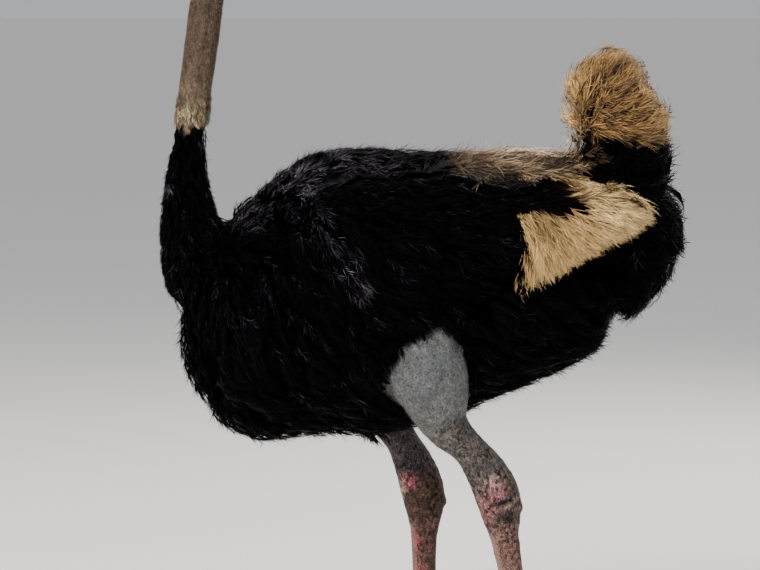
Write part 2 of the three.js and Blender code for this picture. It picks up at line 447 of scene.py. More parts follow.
# end of each large toe: how far back, out, and how narrow it gets
toeEnds = [(0.142, -0.117), (-0.108, 0.118)]
toeTaper = {"long": 0.050, "wide": 0.26, "deep": 0.16}


def taperToes(feet):
    points = pointsOf(feet.data)
    for back, out in toeEnds:
        ahead = back + toeTaper["long"] - points[:, 0]
        share = (points[:, 1] * out > 0) * between(ahead, 0, toeTaper["long"])
        points[:, 1] += (out - points[:, 1]) * share * toeTaper["wide"]
        points[:, 2] *= 1 - share * toeTaper["deep"]
    setPoints(feet.data, points)


def flattenSoles(feet):
    points = pointsOf(feet.data)
    points[:, 2] = np.where(points[:, 2] < skinShape["sole"], 0.0, points[:, 2])
    setPoints(feet.data, points)


def refineBare(piece):
    # finer faces where the skin shows: neck and legs
    mesh = piece.data
    centres = np.array([face.center[:] for face in mesh.polygons])
    bare = bareNode[nodeAt(centres)]
    selectOnly(piece)
    bpy.ops.object.mode_set(mode="EDIT")
    bpy.ops.mesh.select_all(action="DESELECT")
    bpy.ops.mesh.select_mode(type="FACE")
    bpy.ops.object.mode_set(mode="OBJECT")
    mesh.polygons.foreach_set("select", bare)
    bpy.ops.object.mode_set(mode="EDIT")
    bpy.ops.mesh.subdivide(number_cuts=1)
    bpy.ops.object.mode_set(mode="OBJECT")


def bridgeSeam(piece, height, sign=0):
    # joins the two open rims that face each other at a cut, on one side or across both
    selectOnly(piece)
    bpy.ops.object.mode_set(mode="EDIT")
    bpy.ops.mesh.select_all(action="DESELECT")
    bpy.ops.mesh.select_mode(type="EDGE")
    bpy.ops.mesh.select_non_manifold(extend=False)
    bpy.ops.object.mode_set(mode="OBJECT")
    mesh = piece.data
    points = pointsOf(mesh)
    near = np.abs(points[:, 2] - height) < 0.0006
    near &= points[:, 1] * sign >= 0
    picked = np.zeros(len(mesh.edges), bool)
    mesh.edges.foreach_get("select", picked)
    picked &= near[edgesOf(mesh)].all(1)
    mesh.vertices.foreach_set("select", np.zeros(len(points), bool))
    mesh.polygons.foreach_set("select", np.zeros(len(mesh.polygons), bool))
    mesh.edges.foreach_set("select", picked)
    bpy.ops.object.mode_set(mode="EDIT")
    bpy.ops.mesh.bridge_edge_loops()
    bpy.ops.object.mode_set(mode="OBJECT")


eyes = {
    "centre": (-0.5678, 0.0250, 2.1520),  # of the right eye; the left one is mirrored
    "radius": 0.0205,
    "aim": (-0.30, 0.95, 0.06),  # where the right eye looks
    "lidOver": 0.0022,  # how far the lids stand over the globe
    "opening": (0.0172, 0.0132),  # half its length and half its height
    "iris": 0.0125,
    "pupil": 0.0068,
    "cornea": (0.74, 0.92, 0.0011),  # where its bulge starts and is full, and its height
    "spokeColours": ((0.034, 0.015, 0.006), (0.070, 0.032, 0.013)),
    "speckColour": (0.020, 0.009, 0.004),
    "rimColour": (0.012, 0.008, 0.007),
    "pupilColour": (0.001, 0.001, 0.0012),
}


def eyeFrame(sign):
    # centre of the eye, the way it looks, and the directions forward and up along it
    centre = np.array(eyes["centre"]) * (1, sign, 1)
    aim = unit(np.array(eyes["aim"]) * (1, sign, 1))
    ahead = unit(np.cross(np.cross(aim, (-1, 0, -0.12)), aim))
    up = np.cross(ahead, aim) * sign
    return centre, aim, ahead, up * np.sign(up[2])


def lidDomes():
    # a dome over each eye, melted into the head by the remesh and opened afterwards
    radius = eyes["radius"] + eyes["lidOver"]
    return [addBall(eyeFrame(sign)[0], radius, 32, 20) for _, sign in sides]


def openLids(head):
    # cuts an almond opening through each dome
    for _, sign in sides:
        centre, aim, ahead, up = eyeFrame(sign)
        bpy.ops.mesh.primitive_cylinder_add(vertices=48, radius=1, depth=1)
        cutter = bpy.context.object
        points = pointsOf(cutter.data)
        long, high = eyes["opening"]
        angle = np.arctan2(points[:, 1], points[:, 0])
        rim = np.abs(np.sin(angle)) ** 1.15 * np.sign(np.sin(angle))
        deep = eyes["radius"] * np.where(points[:, 2] > 0, 1.6, 0.45)
        flare = np.where(points[:, 2] > 0, 1.12, 0.92)
        placed = centre + ahead * (np.cos(angle) * long * flare)[:, None]
        placed = placed + up * (rim * high * flare)[:, None] + aim * deep[:, None]
        setPoints(cutter.data, placed)
        editWhole(cutter, bpy.ops.mesh.normals_make_consistent, inside=False)
        finishModifier(head, "BOOLEAN", operation="DIFFERENCE", object=cutter, solver="MANIFOLD")
        bpy.data.objects.remove(cutter)


def makeEyes():
    # a globe with a clear bulge over the iris; its pattern is set by the way it looks
    for name, sign in sides:
        centre, aim, ahead, up = eyeFrame(sign)
        globe = addBall(centre, eyes["radius"], 64, 48)
        globe.name = "eyeball_" + name
        shadeSmooth(globe)
        points = pointsOf(globe.data) - centre
        facing = points @ aim / eyes["radius"]
        start, full, height = eyes["cornea"]
        bulge = between(facing, start, full) * height
        setPoints(globe.data, centre + points + unit(points) * bulge[:, None])
        reach = np.linalg.norm(points - aim * (points @ aim)[:, None], axis=1)
        reach[facing < 0] = eyes["radius"]
        spoke = np.arctan2(points @ up, points @ ahead)
        pattern = np.empty((len(points), 3))
        pattern[:, 0] = reach / eyes["radius"]
        pattern[:, 1] = 0.5 + 0.5 * np.sin(spoke * 9)
        pattern[:, 2] = between(points @ up / eyes["radius"], -0.2, 0.9)
        paintPoints(globe.data, "iris", pattern)
        handOver(globe, "eye", "eye", "eye_" + name)


lashes = {"count": 40, "length": 0.018, "width": 0.0006}


def makeLashes():
    # dark bristles along each upper lid, fanned out and curving down
    for name, sign in sides:
        centre, aim, ahead, up = eyeFrame(sign)
        count = lashes["count"]
        angle = np.linspace(0.12, 0.90, count) * math.pi + seeds.normal(0, 0.02, count)
        long, high = eyes["opening"]
        side = ahead * (np.cos(angle) * long * 1.08)[:, None]
        rise = up * (np.sin(angle) * high * 1.12)[:, None]
        radial = side + rise
        reach = eyes["radius"] + eyes["lidOver"] * 0.7
        out = np.sqrt(np.maximum(reach**2 - (radial**2).sum(1), 1e-6))
        root = centre + radial + aim * (out[:, None] - 0.001)
        way = unit(aim * 0.9 + unit(radial) * 0.75)
        length = lashes["length"] * seeds.uniform(0.6, 1.1, count)
        points = [root]
        for _ in range(3):
            points.append(points[-1] + way * (length / 3)[:, None])
            way = unit(way - up * 0.28 + unit(side) * 0.10)
        strands = {
            "points": np.stack(points, 1),
            "normal": np.tile(up, (count, 1)),
            "width": np.full(count, lashes["width"]),
            "tone": seeds.random(count) * 0.5,
            "glint": np.zeros(count),
            "patch": np.stack([np.linspace(0.05, 0.95, count), np.full(count, 0.5)], 1),
            "marks": np.zeros((count, 3)),
        }
        handOver(meshStrands("lashes_" + name, strands), "black", "black_plumage")


# folds of the skin

# start, end, radius and height of each stroke, in metres; heights below zero are grooves.
# those beside the middle plane are made on both sides
folds = [
    # head
    ((-0.596, 0.027, 2.172), (-0.545, 0.036, 2.1775), 0.0075, 0.0022),  # brow
    ((-0.590, 0.030, 2.1685), (-0.548, 0.040, 2.1700), 0.0030, -0.0012),  # lid fold
    ((-0.590, 0.034, 2.1355), (-0.550, 0.041, 2.1330), 0.0035, -0.0012),
    ((-0.521, 0.036, 2.150), (-0.518, 0.036, 2.146), 0.0110, 0.0016),  # ear
    ((-0.521, 0.036, 2.150), (-0.518, 0.036, 2.146), 0.0055, -0.0060),
    ((-0.604, 0.030, 2.1175), (-0.570, 0.034, 2.1150), 0.0034, -0.0022),  # gape
    ((-0.585, 0.033, 2.1220), (-0.555, 0.038, 2.1220), 0.0070, 0.0010),
    ((-0.590, 0.000, 2.182), (-0.535, 0.000, 2.190), 0.0180, -0.0012),
    ((-0.600, 0.000, 2.098), (-0.540, 0.000, 2.088), 0.0140, -0.0020),
    # neck
    ((-0.452, 0.036, 1.96), (-0.468, 0.040, 1.74), 0.016, -0.0040),
    ((-0.468, 0.040, 1.74), (-0.500, 0.042, 1.50), 0.016, -0.0040),
    ((-0.500, 0.000, 2.00), (-0.515, 0.000, 1.78), 0.016, 0.0030),
    ((-0.515, 0.000, 1.78), (-0.555, 0.000, 1.50), 0.016, 0.0030),
]
# the same round each hock: how far behind its middle, how far out, and how high
hockFolds = [
    ((-0.020, 0.034, 0.012), (-0.044, 0.010, 0.028), 0.016, 0.0035),
    ((0.030, 0.026, 0.030), (0.050, 0.000, -0.030), 0.018, 0.0040),
    ((0.004, 0.041, -0.017), (0.032, 0.031, -0.006), 0.0085, -0.0080),
    ((-0.040, 0.020, 0.000), (-0.030, 0.034, -0.010), 0.008, -0.0030),
    ((-0.045, 0.014, 0.046), (-0.010, 0.036, 0.036), 0.009, -0.0030),
    ((-0.042, 0.014, -0.030), (-0.010, 0.036, -0.046), 0.009, -0.0035),
    ((0.010, 0.040, 0.050), (0.036, 0.024, 0.062), 0.010, -0.0025),
    ((0.044, 0.014, -0.020), (0.030, 0.014, -0.070), 0.012, 0.0030),
    ((-0.012, 0.036, -0.034), (0.014, 0.036, -0.046), 0.010, 0.0025),
]
hocks = {"left": (0.240, 0.136, 0.535), "right": (0.058, 0.138, 0.505)}
# the front of each thigh, brought out to the plumage round it
hipFolds = [((-0.025, 0.19, 0.820), (0.030, 0.21, 0.800), 0.070, 0.016)]


def strokeShare(points, start, end, radius):
    # how strongly a stroke from start to end reaches each point, 1 on its line
    start, end = np.array(start, float), np.array(end, float)
    run = end - start
    share = np.clip((points - start) @ run / (run @ run), 0, 1)
    gap = np.linalg.norm(points - (start + share[:, None] * run), axis=1)
    return np.clip(1 - (gap / radius) ** 2, 0, 1) ** 2


def strokesAt(points, strokes, sign=1, middle=(0, 0, 0), across=1):
    # summed height of strokes given from a middle, mirrored about it and to one side
    height = np.zeros(len(points))
    for start, end, radius, rise in strokes:
        a, b = (
            (middle + np.array(place) * (1, across, 1)) * (1, sign, 1) for place in (start, end)
        )
        height += strokeShare(points, a, b, radius) * rise
    return height


def bothSides(points, strokes):
    paired = [stroke for stroke in strokes if stroke[0][1] != 0]
    return strokesAt(points, paired, -1) + strokesAt(points, strokes)


def pushOut(piece, move):
    mesh = piece.data
    setPoints(mesh, pointsOf(mesh) + normalsOf(mesh) * move[:, None])


def foldSkin(piece):
    points = pointsOf(piece.data)
    move = bothSides(points, folds)
    for name, sign in sides:
        move += strokesAt(points, hipFolds, sign, (hips[name], 0, 0))
        for across in (1, -1):
            move += strokesAt(points, hockFolds, sign, hocks[name], across)
    pushOut(piece, move)


# bill

bill = {
    "voxel": 0.0015,
    "smoothing": 5,
    "nostril": ((-0.6475, 0.0186, 2.1380), (-0.6660, 0.0172, 2.1335)),
    "nostrilShade": 0.0046,  # how far the painted shade in it reaches
    # strokes on the upper half: edges of the flat ridge, and the nail at the tip
    "ridge": [
        ((-0.60, 0.016, 2.155), (-0.70, 0.009, 2.125), 0.009, -0.0016),
        ((-0.705, 0, 2.121), (-0.712, 0, 2.116), 0.012, 0.0006),
    ],
    # place, radius and colour of its patches, on both sides
    "patches": [
        ((-0.712, 0.0, 2.118), 0.020, (0.34, 0.235, 0.165)),
        ((-0.640, 0.006, 2.156), 0.026, (0.150, 0.098, 0.080)),
        ((-0.605, 0.010, 2.165), 0.030, (0.120, 0.080, 0.066)),
        ((-0.605, 0.028, 2.122), 0.022, (0.33, 0.165, 0.130)),
    ],
}


def makeBill():
    for name in ("bill_upper", "bill_lower"):
        piece = copiesOf([name], name.replace("_", "Horn_"), grow=0.0)
        finishModifier(piece, "REMESH", mode="VOXEL", voxel_size=bill["voxel"])
        finishModifier(piece, "SMOOTH", iterations=bill["smoothing"])
        points = pointsOf(piece.data)
        tint = np.tile(hornLook["horn"]["tint"], (len(points), 1))
        for place, radius, colour in bill["patches"]:
            gap = np.linalg.norm(oneSide(points) - place, axis=1)
            tint += (colour - tint) * between(-gap, -radius, -radius * 0.3)[:, None]
        if name == "bill_upper":
            ends = bill["nostril"]
            nostril = [(*ends, 0.0032, -0.0040), (*ends, 0.008, 0.0008)]
            pushOut(piece, bothSides(points, nostril + bill["ridge"]))
            # the nostril painted dark, as shade in its opening
            shade = strokeShare(oneSide(points), *ends, bill["nostrilShade"])
            tint *= 1 - 0.93 * between(shade, 0.10, 0.75)[:, None]
        paintPoints(piece.data, "tint", tint)
        shadeSmooth(piece)
        handOver(piece, "horn", "horn", name)


claws = {"wider": 0.34, "deeper": 0.22}  # growth of the root of each claw


def makeClaws():
    for name, _ in sides:
        piece = copiesOf(["claw_" + name], "clawHorn_" + name, grow=0.0)
        finishModifier(piece, "REMESH", mode="VOXEL", voxel_size=0.0020)
        finishModifier(piece, "SMOOTH", iterations=2)
        points = pointsOf(piece.data)
        middle = points.mean(0)
        root = between(points[:, 0], points[:, 0].min(), points[:, 0].max())
        points[:, 1] += (points[:, 1] - middle[1]) * claws["wider"] * root
        points[:, 2] *= 1 + claws["deeper"] * root
        points[:, 2] = np.maximum(points[:, 2], 0.0)
        setPoints(piece.data, points)
        paintPoints(piece.data, "tint", np.tile(hornLook["claw"]["tint"], (len(points), 1)))
        shadeSmooth(piece)
        handOver(piece, "claw", "claw_horn", "claw_" + name)


# lie of the coat

# a place on one side (how far back, out and up) and the way the feathers run there;
# the other side is its mirror
lie = {
    "neck": [
        ((-0.545, 0.03, 2.10), (0.35, 0.0, -0.9)),
        ((-0.49, 0.03, 1.90), (0.05, 0.0, -1)),
        ((-0.51, 0.03, 1.60), (0.0, 0.0, -1)),
    ],
    "head": [
        ((-0.60, 0.01, 2.17), (1, 0.0, 0.25)),
        ((-0.55, 0.01, 2.19), (1, 0.1, 0.0)),
        ((-0.56, 0.03, 2.12), (0.8, 0.1, -0.6)),
        ((-0.51, 0.03, 2.15), (0.6, 0.1, -0.8)),
    ],
    "collar": [
        ((-0.56, 0.04, 1.42), (0.0, 0.0, -1)),
        ((-0.60, 0.06, 1.22), (0.0, 0.0, -1)),
        ((-0.50, 0.09, 1.25), (0.1, 0.05, -1)),
        ((-0.45, 0.05, 1.30), (0.25, 0.1, -0.9)),
        ((-0.46, 0.02, 1.15), (0.6, 0.3, -0.4)),
    ],
    "breast": [
        ((-0.60, 0.05, 1.05), (0.05, 0.05, -1)),
        ((-0.50, 0.16, 1.05), (0.25, 0.1, -1)),
        ((-0.55, 0.08, 0.88), (0.3, 0.0, -1)),
        ((-0.42, 0.14, 0.74), (0.8, 0.0, -0.6)),
        ((-0.25, 0.05, 0.66), (1, 0.0, -0.2)),
        ((-0.30, 0.22, 1.00), (0.4, 0.0, -0.9)),
    ],
    "flank": [
        ((-0.15, 0.24, 1.05), (0.5, 0.0, -0.8)),
        ((-0.10, 0.22, 0.85), (0.6, 0.0, -0.75)),
        ((0.02, 0.10, 0.66), (1, 0.0, -0.05)),
        ((0.12, 0.22, 0.95), (0.7, 0.0, -0.65)),
        ((0.35, 0.22, 0.95), (0.85, 0.0, -0.5)),
        ((0.35, 0.10, 0.75), (0.95, 0.0, 0.2)),
        ((0.50, 0.15, 0.85), (0.9, 0.0, -0.35)),
    ],
    "back": [
        ((-0.42, 0.05, 1.18), (0.75, 0.15, 0.5)),
        ((-0.30, 0.05, 1.31), (0.9, 0.15, 0.3)),
        ((-0.30, 0.16, 1.24), (0.85, 0.1, -0.25)),
        ((-0.10, 0.05, 1.38), (1, 0.1, 0.05)),
        ((-0.10, 0.17, 1.33), (1, 0.1, -0.25)),
        ((0.15, 0.05, 1.40), (1, 0.1, -0.05)),
        ((0.15, 0.17, 1.34), (1, 0.05, -0.2)),
        ((0.40, 0.05, 1.38), (1, 0.1, -0.05)),
        ((0.40, 0.15, 1.33), (1, 0.05, -0.3)),
    ],
    "wing": [
        ((-0.22, 0.26, 1.22), (0.7, 0.0, -0.7)),
        ((-0.15, 0.28, 1.12), (0.6, 0.0, -0.8)),
        ((0.05, 0.28, 1.26), (0.95, 0.0, -0.25)),
        ((0.05, 0.29, 1.12), (0.85, 0.0, -0.5)),
        ((0.25, 0.26, 1.24), (1, 0.0, -0.2)),
        ((0.25, 0.27, 1.10), (0.9, 0.0, -0.45)),
        ((0.45, 0.20, 1.24), (1, 0.0, -0.35)),
    ],
    "wingPlume": [
        ((0.30, 0.22, 1.15), (0.15, 0.0, -1)),
        ((0.36, 0.20, 1.12), (0.45, 0.0, -0.9)),
        ((0.45, 0.18, 1.13), (0.65, 0.0, -0.75)),
        ((0.45, 0.20, 1.25), (0.85, -0.1, -0.5)),
        ((0.55, 0.15, 1.19), (0.85, -0.1, -0.5)),
        ((0.58, 0.14, 1.26), (0.92, -0.1, -0.38)),
    ],
    "tailBlack": [
        ((0.50, 0.10, 1.35), (0.8, 0.3, 0.1)),
        ((0.58, 0.10, 1.39), (0.3, 0.3, 0.8)),
        ((0.64, 0.06, 1.38), (0.5, 0.2, 0.7)),
        ((0.60, 0.14, 1.27), (0.75, 0.45, -0.2)),
        ((0.67, 0.05, 1.25), (0.8, 0.3, -0.3)),
        ((0.66, 0.05, 1.12), (0.7, 0.2, -0.7)),
        ((0.60, 0.14, 1.12), (0.6, 0.3, -0.75)),
        ((0.60, 0.06, 0.98), (0.45, 0.1, -0.9)),
        ((0.50, 0.14, 1.02), (0.5, 0.2, -0.85)),
    ],
    "tailTan": [
        ((0.425, 0.05, 1.42), (-0.15, 0.1, 0.9)),
        ((0.43, 0.05, 1.55), (0.2, 0.05, 0.95)),
        ((0.47, 0.05, 1.62), (0.65, 0.0, 0.7)),
        ((0.54, 0.03, 1.64), (0.75, 0.0, 0.6)),
        ((0.50, 0.08, 1.53), (0.85, 0.0, 0.4)),
        ((0.50, 0.08, 1.45), (1, 0.0, 0.05)),
        ((0.55, 0.08, 1.40), (0.95, 0.0, 0.15)),
        ((0.60, 0.05, 1.48), (0.9, 0.0, 0.35)),
        ((0.62, 0.04, 1.56), (0.75, 0.0, 0.65)),
    ],
    "tailRim": [
        ((0.43, 0.03, 1.43), (-0.8, 0.0, 0.1)),
        ((0.43, 0.03, 1.53), (-0.7, 0.0, 0.5)),
        ((0.46, 0.03, 1.60), (-0.4, 0.0, 0.9)),
    ],
    "thigh": [
        ((-0.04, 0.21, 0.81), (-0.8, 0.0, 0.1)),
        ((-0.01, 0.22, 0.88), (-0.7, 0.0, 0.6)),
        ((0.05, 0.22, 0.94), (-0.3, 0.0, 0.9)),
        ((0.12, 0.22, 0.94), (0.2, 0.0, 0.9)),
        ((0.05, 0.22, 0.86), (-0.4, 0.0, 0.3)),
        ((0.05, 0.22, 0.78), (-0.4, 0.0, -0.8)),
        ((0.10, 0.21, 0.80), (0.0, 0.0, -1)),
        ((0.18, 0.15, 0.65), (0.3, 0.0, -0.95)),
        ((0.24, 0.14, 0.50), (0.0, 0.0, -1)),
        ((0.28, 0.13, 0.30), (0.1, 0.0, -1)),
    ],
}


def wayAt(points, groups):
    # the way of the coat at each point, blended from the nearest guides
    guides = [guide for group in groups for guide in lie[group]]
    places, ways = np.array(guides, float).transpose(1, 0, 2)
    ways, folded = unit(ways), oneSide(points)
    way = np.zeros_like(points)
    for part in np.array_split(np.arange(len(points)), max(1, len(points) // 4000)):
        gap = np.linalg.norm(folded[part, None] - places[None], axis=2)
        way[part] = (1 / (gap**5 + 1e-9)) @ ways
    way = unit(way)
    way[:, 1] *= np.clip(points[:, 1] / 0.04, -1, 1)
    return unit(way)


# surface of the skin, read once for the coat

surface = {}


def readSurface(piece, marks):
    mesh = piece.data
    points, triangles = pointsOf(mesh), cornersOf(mesh)
    surface["corners"] = points[triangles]
    surface["normals"] = unit(normalsOf(mesh)[triangles].mean(1))
    surface["areas"] = areasOf(points[triangles])
    surface["centres"] = points[triangles].mean(1)
    unwrap = np.empty(len(mesh.loops) * 2)
    mesh.uv_layers["OFBake"].data.foreach_get("uv", unwrap)
    surface["unwrap"] = unwrap.reshape(-1, 2)[cornersOf(mesh, "loops")]
    surface["owner"] = nodeAt(surface["centres"])
    surface["marks"] = marks[triangles].mean(1)
    surface["tree"] = BVHTree.FromPolygons(points.tolist(), triangles.tolist())


def scatterRoots(count, weight):
    # roots for feathers, spread over the skin by area and weight
    chance = surface["areas"] * weight
    picked = seeds.choice(len(chance), count, p=chance / chance.sum())
    picked.sort()
    shares = anywhereIn(count)
    return {
        "place": placesIn(surface["corners"][picked], shares),
        "normal": surface["normals"][picked],
        "patch": placesIn(surface["unwrap"][picked], shares),
        "marks": surface["marks"][picked],
    }


def snap(points):
    # nearest place on the skin, its soft normal, and whether it is bare
    found = [surface["tree"].find_nearest(point) for point in points.tolist()]
    places = np.array([place for place, _, _, _ in found])
    faces = np.array([face for _, _, face, _ in found])
    return places, surface["normals"][faces], surface["marks"][faces, 2] > 0.5


def flatten(ways, normals):
    # takes out of each way the part that points off the skin
    return unit(ways - normals * (ways * normals).sum(1, keepdims=True))


def turned(ways, normals, angles):
    # turns each way about its normal
    across = np.cross(normals, ways)
    return ways * np.cos(angles)[:, None] + across * np.sin(angles)[:, None]


def layFeathers(roots, style, trial=True):
    # walks each quill over the skin from its root, along the lie of the coat
    count, steps, groups = len(roots["place"]), style["steps"], style["lie"]
    if trial:
        # each feather has its own length, and its own turn at the root and on the way
        spread = np.array([0.26, style["stray"], style["bend"]])
        roots["own"] = seeds.normal(0, 1, (count, 3)) * spread
        roots["high"] = seeds.uniform(0.2, 1.0, count) ** 0.8
        roots["short"] = np.ones(count)
    own = roots["own"]
    length = style["length"] * np.clip(1 + own[:, 0], 0.5, 1.6) * roots["short"]
    stray, bend = np.radians(own[:, 1]), np.radians(own[:, 2])
    lift = style["lift"] * roots["high"] * roots["short"]
    places = np.empty((count, steps + 1, 3))
    normals = np.empty((count, steps + 1, 3))
    reached = np.ones(count)
    place, normal = roots["place"].copy(), roots["normal"]
    moved = np.array((style.get("moved", 0.0), 0, 0))
    way = turned(flatten(wayAt(place - moved, groups), normal), normal, stray)
    for step in range(steps + 1):
        places[:, step], normals[:, step] = place, normal
        if step == steps:
            break
        share = (step + 1) / steps
        free = place + way * (length / steps)[:, None]
        ground, nextNormal, bare = snap(free)
        if trial and not style.get("onBare"):
            met = bare & (reached == 1)
            reached[met] = max(0.3, share)
        height = lift * min(1, share / 0.45) ** 0.8
        above = ((free - ground) * nextNormal).sum(1)
        hold = style["cling"] * (1 - share * style["loose"])
        target = np.where(above < height, height, height + (above - height) * (1 - hold))
        sideways = free - ground - nextNormal * above[:, None]
        place = ground + nextNormal * target[:, None] + sideways * (1 - hold)
        field = flatten(wayAt(place - moved, groups), nextNormal)
        field = turned(field, nextNormal, stray + bend * share)
        heading = unit(place - places[:, step])
        way = unit(heading * (1 - style["follow"]) + field * style["follow"])
        way = unit(way + np.array((0, 0, -style["droop"] * share)))
        normal = nextNormal
    if trial and (reached < 1).any():
        roots["short"] = reached
        return layFeathers(roots, style, trial=False)
    return places, normals


def growBarbs(places, normals, roots, style):
    # sets soft barbs along both sides of each quill; each is a short tapering strand
    count, steps = places.shape[0], places.shape[1] - 1
    barbs, joints = style["barbs"], style["joints"]
    along = (np.arange(barbs) + seeds.random((count, barbs))) / barbs
    along = style["bare"] + (1 - style["bare"]) * along
    index = np.minimum((along * steps).astype(int), steps - 1)
    part = (along * steps - index)[..., None]
    rows = np.arange(count)[:, None]
    start = places[rows, index] * (1 - part) + places[rows, index + 1] * part
    quill = unit(places[rows, index + 1] - places[rows, index])
    normal = unit(normals[rows, index] * (1 - part) + normals[rows, index + 1] * part)
    across = unit(np.cross(normal, quill))
    normal = np.cross(quill, across)
    side = np.where(np.arange(barbs) % 2, 1.0, -1.0)[None, :]
    opened = style["open"][0] * (1 - along) + style["open"][1] * along
    opened = np.radians(opened * seeds.uniform(0.6, 1.4, (count, barbs)))
    shape = np.sin(np.pi * np.clip(0.22 + along * 0.62, 0, 1)) ** 0.7
    size = style["barb"] * shape * seeds.uniform(0.55, 1.3, (count, barbs))
    size *= roots["short"][:, None] ** 0.7
    curl = seeds.normal(0, style["curl"], (count, barbs, 3))
    rise = seeds.normal(style["rise"], style["rough"], (count, barbs))
    points = [start]
    for joint in range(1, joints):
        share = joint / (joints - 1)
        angle = opened * (1 - share * style["bendBack"])
        way = (
            quill * np.cos(angle)[..., None]
            + across * (side * np.sin(angle))[..., None]
            + normal * (rise * (1 - 1.5 * share))[..., None]
            + curl * share
            + np.array((0, 0, -style["droop"] * share))
        )
        points.append(points[-1] + unit(way) * (size / (joints - 1))[..., None])
    points = np.stack(points, 2).reshape(-1, joints, 3)
    tone = 0.6 * seeds.random((count, 1)) + 0.4 * seeds.random((count, barbs))
    width = style["width"] * seeds.uniform(0.6, 1.3, (count, barbs))
    return {
        "points": points,
        "normal": normal.reshape(-1, 3),
        "width": width.ravel(),
        "tone": tone.ravel(),
        "glint": glintAt(points[:, 0], style["paint"]),
        "patch": np.repeat(roots["patch"], barbs, 0),
        "marks": np.repeat(roots["marks"], barbs, 0),
    }


def growVanes(places, normals, roots, style):
    # a soft flat vane under each quill, which keeps the skin from showing
    count, steps = len(places), places.shape[1] - 1
    picked = np.rint(np.linspace(0, steps, len(vaneShape["taper"]) + 1)).astype(int)
    return {
        "points": places[:, picked] - normals[:, picked] * 0.001,
        "normal": normals[:, steps // 2],
        "width": style["vane"] * roots["short"] * seeds.uniform(0.8, 1.2, count),
        "tone": 0.5 * seeds.random(count),
        "glint": glintAt(places[:, steps // 2], style["paint"]) * style.get("shiny", 0.0),
        "patch": roots["patch"],
        "marks": roots["marks"],
    }


# painted highlights: where the strands of each paint are painted paler, as if they caught the
# light; place, radius and share, on both sides
glints = {
    # painted highlights where the barbs of the back, shoulder, collar, breast, wing edge and tail
    # coverts catch the light
    "black": [
        ((-0.38, 1.22), 0.05, 0.4), ((-0.31, 1.28), 0.05, 0.9), ((-0.25, 1.31), 0.05, 1.0),
        ((-0.17, 1.35), 0.05, 0.9), ((-0.06, 1.37), 0.06, 0.55), ((0.06, 1.37), 0.06, 0.35),
        ((-0.22, 1.22), 0.05, 0.3), ((-0.165, 1.18), 0.03, 0.7), ((-0.135, 1.12), 0.035, 0.75),
        ((-0.10, 1.06), 0.035, 0.5), ((-0.08, 1.00), 0.03, 0.25), ((-0.576, 1.285), 0.02, 0.9),
        ((-0.43, 0.97), 0.05, 0.08), ((-0.38, 0.90), 0.04, 0.05), ((0.66, 1.25), 0.08, 0.12),
    ],
    # painted highlights on the lit rim of the tail, mostly on its left side
    "tail": [
        ((0.42, 1.53), 0.040, 0.8), ((0.41, 1.46), 0.040, 1.0), ((0.42, 1.41), 0.03, 0.8),
        ((0.53, 1.645), 0.030, 0.5), ((0.66, 1.45), 0.04, 0.5),
    ],
    # painted highlight on the upper part of the plumes, where the light falls
    "plume": [((0.43, 1.30), 0.07, 1.0), ((0.51, 1.27), 0.09, 1.0), ((0.58, 1.24), 0.06, 0.9)],
    # the rump's pale top: partly its own cream streaks, partly a painted highlight
    "rump": [((0.34, 1.41), 0.08, 0.9), ((0.26, 1.40), 0.06, 0.9), ((0.42, 1.39), 0.05, 0.7)],
    # the cream at the foot of the neck: partly its own colour, partly a painted highlight on its
    # rim
    "neck": [((-0.53, 1.464), 0.042, 1.0)],
}


def glintAt(points, paint):
    # share of painted highlight at each point
    share = np.zeros(len(points))
    for (across, high), radius, strength in glints.get(paint, []):
        gap = np.hypot(points[:, 0] - across, points[:, 2] - high)
        share = np.maximum(share, strength * between(-gap, -radius * 1.3, -radius * 0.3))
    return share


# cross-section along a strand: share of its width from root to tip, height, and how
# far its colour runs towards that of the tip
barbShape = {"taper": (1.0, 0.9, 0.75, 0.6), "high": 0.7, "reach": 1.0}
vaneShape = {"taper": (0.4, 1.0, 0.95, 0.6), "high": 0.05, "reach": 0.5}


